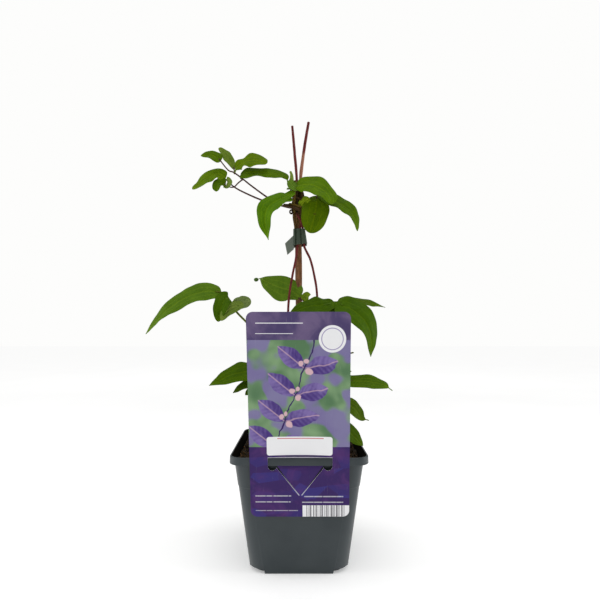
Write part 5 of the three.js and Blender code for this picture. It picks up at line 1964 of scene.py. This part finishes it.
SPRAYS: tuple[Spray, ...] = (
    Spray("upper_left_leaves", "upper_left_spray", (
        Stalk(((-4.4, -6.2, 362), (-10, -2, 363.5), (-17.5, 2, 366.5), (-39.5, 10, 375), (-58, 14, 384),
            (-71, 16, 391.5), (-79, 17, 399), (-85, 16, 403.5)), 1.0, 0.65, PURPLE),
        Stalk(((-20, 3.2, 367.8), (-35.5, 6, 378), (-51.5, 9, 390.5), (-62.5, 10, 399.5), (-71, 10, 405.5),
            (-77, 10, 408), (-85.5, 11, 418.5), (-88, 11, 421)), 0.85, 0.6, PURPLE),
        Stalk(((-61, 9.8, 398), (-66.5, 12, 394.5), (-71, 15.5, 391.8), (-76, 17, 392), (-83, 14, 394)),
            0.7, 0.55, PURPLE),
        Stalk(((-70, 10, 404.5), (-70.5, 10.4, 409), (-71.5, 12, 413)), 0.7, 0.6, PURPLE),
        Stalk(((-70, 10, 404.5), (-68, 9, 409), (-66, 8.5, 412.5)), 0.65, 0.6, GREEN),
        Stalk(((-63, 10, 399.2), (-60.5, 8.5, 401), (-58, 7.5, 402.2)), 0.65, 0.6, PURPLE),
    ), (
        Blade(((-85, 11, 418.5), (-90, 9.5, 422), (-98, 7, 423), (-106, 6, 422)), 7.5, (-10, 27), fold=14,
            swell=(0.42, 0.75), tone=(78, 106, 0)),
        Blade(((-70.5, 10.4, 408.5), (-74, 12, 416.5), (-80, 15, 426), (-88, 18, 436)), 5.4, (20, 5),
            fold=20, swell=(0.6, 0.45), wave=(0.12, 1.5, 1), tone=(94, 118, 36), uneven=0.09),
        Blade(((-69, 9.5, 408), (-62, 6, 413.5), (-49, 2, 415.5), (-33.5, -2, 411)), 9.2, (0, 28),
            swell=(0.6, 0.4), wave=(0.16, 2.2, 0.5), tone=(88, 114, 0), uneven=0.1),
        Blade(((-63.5, 9.5, 402.5), (-52, 5.5, 403.5), (-35, 1, 401.5), (-15, -2, 397), (-10.8, -2.5, 385)),
            7.8, (0, 30), fold=8, swell=(0.16, 0.4), length=0.84, wave=(0.1, 2.5, 1), tone=(76, 106, 4),
            uneven=0.08),
        Blade(((-80.5, 16.5, 402), (-90, 14.8, 406), (-99.2, 12.5, 400.5), (-107, 10, 393.4),
            (-115.5, 8, 386.5)), 7.8, (-15, 18), fold=14, swell=(0.24, 0.5), wave=(0.1, 1.6, 1),
            tone=(94, 124, 12), uneven=0.08),
        Blade(((-80.5, 15.5, 394), (-84.5, 12.5, 395), (-88.5, 10.5, 391.5), (-90, 9.5, 384.5)), 8.2,
            (-20, 22), fold=16, swell=(0.45, 0.6), tone=(72, 102, 0)),
        Blade(((-82, 15.2, 391), (-78, 13.5, 392), (-75.5, 12, 396), (-78, 11, 401)), 3, (0, 20),
            swell=(0.5, 0.5), tone=(104, 130, 54)),
    )),
    Spray("hanging_blade", "hanging_leaf", (
        Stalk(((-5.3, -4.4, 374), (-8.5, -6.5, 374), (-12, -8.5, 373)), tone=OLIVE),
    ), (
        Blade(((-8, -7.5, 372), (-19.5, -14, 368.5), (-31, -19.5, 359), (-34.5, -22, 347),
            (-33, -22.5, 335), (-31, -22, 324.5)), 11.8, (-5, 35), (-40, 0), 14, (0.42, 1.0),
            wave=(0.09, 2.5, 0.4), tone=(80, 118, 4), uneven=0.1),
        Blade(((-5, -8.4, 378.5), (-11, -10.6, 374), (-18, -13.6, 368), (-25, -16, 361.5)), 5.4, (-5, 35),
            fold=6, swell=(0.3, 0.6), tone=(84, 121, 10)),
    )),
    Spray("upper_right_blade", "upper_right_leaf", (
        Stalk(((-4.6, -3.4, 380), (-4, -7, 382), (0, -9.5, 383.6), (4, -11, 384)), tone=GREEN),
    ), (
        Blade(((-3, -8.5, 383), (7, -13, 384), (19.5, -18, 379.5), (28.5, -22, 371.5), (34, -24, 360.5)),
            12, (0, 22), (30, 14), 12, (0.42, 0.4), wave=(0.1, 2.2, 2), tone=(84, 116, 6), uneven=0.08),
    )),
    Spray("right_hanging_leaves", "right_hanging_spray", (
        Stalk(((5, -3.3, 364), (8.5, -4.5, 366.5), (13, -5, 370.5), (19, -5.5, 374.5), (24, -5, 375)), 0.9,
            0.65, PURPLE),
        Stalk(((17, -5.3, 373), (18.6, -6.5, 373.6), (18.5, -8, 371)), 0.65, 0.6, PURPLE),
    ), (
        Blade(((20, -5.4, 375), (35, -8, 369.5), (48, -12, 361), (57, -14.5, 350.5), (60.5, -14, 335.5)),
            10.4, (10, 30), (45, 14), 12, (0.5, 0.72), wave=(0.08, 2.5, 0), tone=(73, 103, 0)),
        Blade(((19, -6.6, 374.5), (18.2, -11, 363.5), (15.6, -14, 349), (11.2, -14.5, 333.4)), 14.4, (0, 5),
            (0, -5), 6, (0.5, 0.5), wave=(0.03, 1.5, 0), tone=(80, 106, 0), uneven=0.02),
        Blade(((0.8, -7.4, 362), (4, -8.6, 365.5), (8, -9, 369), (11.5, -8.6, 371)), 5, (0, 20),
            swell=(0.4, 0.4), tone=(122, 148, 24)),
    )),
    Spray("top_sprig", "top_shoot", (
        Stalk(((-5, -3.7, 377), (-8, -5, 380), (-8, -6, 384)), 0.9, 0.9, GREEN),
        Stalk(((-6.2, -5.5, 382), (-6.4, -6.6, 389), (-7, -7, 395), (-8.6, -7, 399)), 1.0, 1.2, SPRING),
    ), (
        Blade(((-8, -5.6, 381), (-8.4, -7.5, 387), (-7.6, -8.5, 392.5), (-8.6, -8.5, 399.5)), 2.4, (0, 10),
            fold=26, swell=(0.5, 0.7), tone=(104, 130, 50)),
        Blade(((-1, -8.5, 380), (-4.5, -9.8, 382.5), (-8, -10.2, 385.5), (-9.8, -9.8, 390)), 5.2, (0, 20),
            swell=(0.5, 0.6), wave=(0.12, 1.5, 0), tone=(86, 118, 34)),
        Blade(((-7.6, -5.2, 380.5), (-9, -7, 381), (-10.8, -9, 380.8), (-12.5, -10.5, 379.8)), 2.8,
            (-20, 25), tone=(90, 120, 40)),
    )),
    Spray("mid_left_leaves", "mid_left_spray", (
        Stalk(((18.8, -2.6, 264.5), (13, -6, 263.8), (6.5, -7, 264), (2.2, -6.2, 265.4), (0, -5.7, 267)),
            tone=PURPLE),
        Stalk(((8, -6.8, 263.9), (7, -7.5, 265.4), (6.6, -8.1, 267.4)), 0.6, 0.5, GREEN),
        Stalk(((-39, 2.6, 288), (-42, 2.5, 288.6), (-45, 2.5, 287.6)), 0.45, 0.35, SPRING),
        Stalk(((-45.9, 2.5, 287.5), (-45.6, 2.5, 287.5), (-45.3, 2.5, 287.6)), 1.7, 1.9, (64, 92, 34)),
    ), (
        Blade(((0.8, -5.9, 266.6), (-6.4, -4.2, 273.8), (-20.3, 0, 278.8), (-32.9, 2, 284.3),
            (-42, 2.5, 289)), 14, (0, 16), fold=8, swell=(0.7, 1), wave=(0.08, 2, 0.6), tone=(86, 117, 27)),
        Blade(((4.5, -7.4, 264), (6.5, -8, 267.5), (9, -8.6, 270), (12.4, -9, 270.5)), 4.6, (0, 20),
            tone=(104, 130, 26)),
    )),
    Spray("mid_right_leaves", "mid_right_spray", (
        Stalk(((20.2, -2.9, 261), (27, -10, 261), (34, -18.5, 260.6), (38.5, -23, 260), (44, -26.5, 258)),
            tone=(68, 96, 8)),
        Stalk(((36, -20.5, 260.6), (31, -24, 259.4), (25, -26, 258.2)), 0.7, 0.6, (66, 94, 8)),
        Stalk(((34, -18.5, 260.6), (41, -19, 262.2), (48, -16.6, 262.7)), 0.7, 0.6, (72, 100, 10)),
    ), (
        Blade(((36.5, -22, 260), (23, -26, 257.8), (7, -30, 255.5), (-9, -34, 249.5)), 11.5, (0, 42),
            swell=(0.45, 0.75), wave=(0.09, 2.5, 0.3), tone=(60, 88, 0)),
        Blade(((38, -23, 259.5), (50, -30, 254.5), (62.8, -36, 244), (70, -38, 228), (70.5, -36, 206.5)),
            16, (0, 40), (50, 5), swell=(0.42, 0.82), wave=(0.07, 2.5, 1.2), tone=(66, 96, 4)),
        Blade(((40, -19.5, 262), (55, -14, 263), (74, -10, 261.5), (90.5, -8, 257)), 9.5, (0, 55), fold=8,
            swell=(0.6, 1.2), tone=(72, 98, 8)),
        Blade(((34, -21.5, 262), (35, -25, 258), (35, -27.5, 252), (34, -28, 245)), 7.5, (0, 25),
            tone=(66, 96, 4)),
    )),
    Spray("left_leaves", "left_spray", (
        Stalk(((-12.5, -8.2, 216.5), (-25, -11, 219.5), (-38.5, -13, 226), (-55, -12.5, 242),
            (-67, -10, 254.5), (-72.5, -8.5, 264.5), (-78, -9, 271.5), (-86, -11, 273.3)), 1.15, 0.8,
            (84, 94, 26)),
        Stalk(((-70.5, -9, 261.5), (-68, -7.5, 263.5), (-63, -3, 262.8)), 0.65, 0.6, GREEN),
        Stalk(((-72, -8.6, 264), (-73.5, -11, 266.3), (-75.5, -13, 265.6)), 0.65, 0.6, GREEN),
        Stalk(((-69.5, -9.2, 260), (-66, -11, 259.8), (-63, -12.8, 259)), 0.6, 0.5, GREEN),
    ), (
        Blade(((-81, -9.5, 272), (-96, -14, 273), (-115, -20, 266), (-137.5, -24, 249.5), (-154, -26, 229)),
            12, (0, 30), (-30, 30), swell=(0.42, 0.85), wave=(0.07, 3, 0.2), tone=(84, 116, 22)),
        Blade(((-73, -10.3, 266), (-76.5, -14.5, 265), (-80, -18, 255.5), (-82.5, -19, 241.5)), 9.5,
            (-10, 12), fold=20, swell=(0.42, 0.55), tone=(64, 94, 4)),
        Blade(((-69, -8, 263.5), (-63.5, -3, 262.5), (-57.5, 2, 263.5), (-51.5, 6, 264.5)), 7, (180, 10),
            fold=8, swell=(0.45, 0.45), tone=(124, 144, 84), dull=0.9),
        Blade(((-58, -9.5, 261), (-66, -14.5, 257.5), (-74, -19.5, 251.5), (-79, -22, 242.5)), 6, (10, 15),
            fold=8, swell=(0.45, 0.6), tone=(104, 126, 50)),
    )),
    Spray("lower_left_leaves", "lower_left_spray", (
        Stalk(((-11.6, -5.2, 164), (-20, -8, 170), (-29, -12, 183), (-36, -14, 192), (-44, -18, 193)),
            tone=OLIVE),
        Stalk(((-27, -11, 180), (-33, -15, 183.5), (-41, -19, 182.5)), 0.7, 0.6, OLIVE),
        Stalk(((-22, -9, 172.5), (-32, -10.5, 173), (-40, -12.5, 171.8), (-45, -15.5, 171)), 0.7, 0.6,
            OLIVE),
    ), (
        Blade(((-37, -14.3, 192.8), (-53.5, -22, 191), (-71, -28, 186.5), (-89.5, -30, 177.5)), 13,
            (-5, 42), swell=(0.45, 0.9), wave=(0.08, 2.5, 0), tone=(66, 94, 0)),
        Blade(((-37, -17, 183), (-47.5, -22, 180), (-57.5, -26, 176), (-66, -28, 170)), 6, (-10, 45),
            tone=(62, 88, 4)),
        Blade(((-41, -13, 171.8), (-47, -17, 170.5), (-51, -20, 169.5), (-54.5, -22, 167)), 5, (-10, 30),
            tone=(60, 86, 4)),
    )),
    Spray("right_blade", "right_leaf", (
        Stalk(((17.2, 2, 165.5), (26, -2, 172), (37, -8, 180), (46, -11.5, 181.8), (55, -14, 180.6)),
            tone=OLIVE),
    ), (
        Blade(((41, -10, 182), (55, -14, 180.5), (73, -18, 180), (86.5, -21, 177), (95, -22, 171.5)), 8.5,
            (5, 40), fold=8, swell=(0.55, 0.7), length=0.88, wave=(0.09, 2.5, 1.5), tone=(78, 108, 14)),
    )),
    Spray("right_lower_leaves", "right_lower_spray", (
        Stalk(((13.8, 2.6, 140), (21, -4, 147), (30, -14, 158), (37, -20.5, 163), (44, -24.5, 161.5)),
            tone=OLIVE),
        Stalk(((24, -7.5, 150.5), (29, -18, 147), (34, -27, 143), (41, -33, 138.6)), 0.75, 0.6, OLIVE),
    ), (
        Blade(((38, -21, 163), (49, -27, 159), (57, -30, 152.5), (63, -31, 145.5), (69.5, -31, 143)), 8.5,
            (20, 35), fold=8, swell=(0.5, 0.8), length=0.88, tone=(72, 96, 14)),
        Blade(((35.5, -28.5, 142), (46, -36, 135.5), (54.5, -40, 128), (62, -42, 120.5)), 9.5, (25, 35),
            tone=(66, 92, 8)),
    )),
    Spray("back_right_leaves", "back_right_spray", (
        Stalk(((21.2, -0.7, 205), (26, 8, 212), (30, 18, 219), (33, 27, 222), (35, 34, 220.5)), tone=OLIVE),
        Stalk(((30, 18, 219), (36, 18, 222.5), (42, 19, 222.5)), 0.7, 0.6, OLIVE),
        Stalk(((30, 18, 219), (44, 22, 211), (54, 24, 207.5), (61, 24, 208.5)), 0.6, 0.8, OLIVE),
        Stalk(((33, 27, 222), (42, 26, 204), (52, 24.5, 188), (58.5, 24, 187.5)), 0.6, 0.7, OLIVE),
    ), (
        Blade(((32.6, 26, 221.9), (35, 37, 219), (35, 49, 208), (33, 57, 192)), 11.5, (170, 45), (180, 5),
            swell=(0.48, 0.8), wave=(0.08, 2.5, 0.9), tone=(70, 100, 6)),
        Blade(((37, 18, 222.7), (44, 19.5, 222), (50, 22, 216), (53, 24, 208)), 7.5, (110, 50), (110, 10),
            tone=(72, 102, 8)),
    )),
    Spray("back_left_leaves", "back_left_spray", (
        Stalk(((-11.6, -4.8, 167), (-15, 5, 176), (-20, 16, 183), (-25, 25, 185), (-29, 32, 183)),
            tone=OLIVE),
        Stalk(((-17.5, 10.5, 180), (-25, 9, 184), (-33, 8.5, 184)), 0.7, 0.6, OLIVE),
    ), (
        Blade(((-24.5, 24.5, 185), (-30, 34, 182), (-34, 44, 172), (-35, 52, 157)), 11, (200, 45), (190, 5),
            swell=(0.5, 0.8), wave=(0.08, 2.5, 2), tone=(68, 98, 4)),
        Blade(((-30, 8.6, 184.3), (-38, 9.5, 183), (-44, 12, 176), (-47, 14, 167)), 8, (250, 50), (250, 12),
            tone=(70, 100, 8)),
    )),
)


@dataclass
class Foliage:
    """All the sprays of leaves."""

    sprays: Sequence[Spray] = SPRAYS

    def build(self) -> None:
        """Makes each spray in the two shared finishes."""
        finishes = [LeafSkin().material(), StalkSkin().material()]
        for number, spray in enumerate(self.sprays):
            add_piece(spray.name, spray.skin(100 + 50 * number), finishes, [spray.node], 70)


# ---------------------------------------------------------------- studio


@dataclass
class Lamp:
    """A soft box: its place, what it looks at, its side lengths and its strength."""

    name: str
    place: Sequence[float]
    aim: Sequence[float]
    size: tuple[float, float]
    watts: float
    colour: Colour = (255, 255, 255)

    def build(self) -> None:
        """Makes the area light and turns it towards its aim."""
        data = bpy.data.lights.new(self.name, "AREA")
        data.shape, data.size, data.size_y, data.energy = "RECTANGLE", *self.size, self.watts
        data.color = linear(self.colour)[:3]
        made = bpy.data.objects.new(self.name, data)
        made.location = self.place
        from_to = np.array(self.aim, float) - np.array(self.place, float)
        across = math.atan2(-from_to[0], from_to[1])
        down = math.atan2(np.hypot(from_to[0], from_to[1]), -from_to[2])
        made.rotation_euler = (down, 0, across)
        bpy.context.scene.collection.objects.link(made)


@dataclass
class Studio:
    """The pale floor, the white surroundings, the soft boxes and the camera."""

    camera_place: tuple[float, float, float] = (-0.00245, -0.454, 0.2243)
    focal_pixels: float = 425.6
    centre_pixels: tuple[float, float] = (296.5, 338.6)
    image: float = 600
    sensor: float = 36
    floor_half: float = 12
    floor_z: float = -0.05
    surround: float = 0.5
    surround_colour: Colour = (253, 253, 252)
    lamps: Sequence[Lamp] = (
        Lamp("left_box", (-1.15, -0.05, 0.5), (0, 0, 0.2), (0.7, 1.3), 6.5),
        Lamp("right_box", (1.15, -0.05, 0.5), (0, 0, 0.2), (0.7, 1.3), 6.5),
        Lamp("top_box", (0, -0.35, 1.6), (0, 0, 0.2), (1.3, 1.1), 7),
    )

    def build(self) -> None:
        """Sets up everything that isn't part of the plant."""
        view = bpy.context.scene.view_settings
        view.view_transform, view.look = "Standard", "None"
        self.add_camera()
        self.add_surround()
        self.add_floor()
        for lamp in self.lamps:
            lamp.build()

    def add_camera(self) -> None:
        """A level camera that looks along +Y, shifted so that the picture is framed as the photograph."""
        data = bpy.data.cameras.new("camera")
        data.sensor_width = self.sensor
        data.lens = self.focal_pixels * self.sensor / self.image
        data.shift_x = (self.image / 2 - self.centre_pixels[0]) / self.image
        data.shift_y = (self.centre_pixels[1] - self.image / 2) / self.image
        data.clip_start, data.clip_end = 0.01, 100
        camera = bpy.data.objects.new("camera", data)
        camera.location = self.camera_place
        camera.rotation_euler = (math.pi / 2, 0, 0)
        bpy.context.scene.collection.objects.link(camera)
        bpy.context.scene.camera = camera

    def add_surround(self) -> None:
        """White surroundings that light the plant, a little brighter to the camera than as light."""
        world = bpy.data.worlds.new("surround")
        world.use_nodes = True
        g = Graph(world.node_tree)
        shader = world.node_tree.nodes["Background"]
        shader.inputs["Color"].default_value = linear(self.surround_colour)
        seen = g.node("LightPath").outputs["Is Camera Ray"]
        g.put(shader.inputs["Strength"], g.add(self.surround, g.mul(seen, 1.0 - self.surround)))
        bpy.context.scene.world = world

    def add_floor(self) -> None:
        """A wide flat sheet at the height of the pot's foot."""
        side = np.linspace(-1, 1, 9) ** 3 * self.floor_half / MM
        x, y = np.meshgrid(side, side)
        points = np.stack([x, y, np.full_like(x, self.floor_z)], -1).reshape(-1, 3)
        floor = plain_object("floor", points, [grid_quads(np.arange(x.size).reshape(x.shape))])
        floor.data.materials.append(PaleFloor().material())


def main() -> None:
    """Builds the studio and the plant's sub-assemblies in order."""
    logging.basicConfig(level=logging.INFO, format="%(name)s: %(message)s")
    Studio().build()
    pot = Pot()
    for part in (pot, Soil(pot), Cane(), Stems(), Clip(), Label(), Foliage()):
        part.build()
        log.info("%s is done", type(part).__name__)
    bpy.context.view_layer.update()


if __name__ == "__main__":
    main()
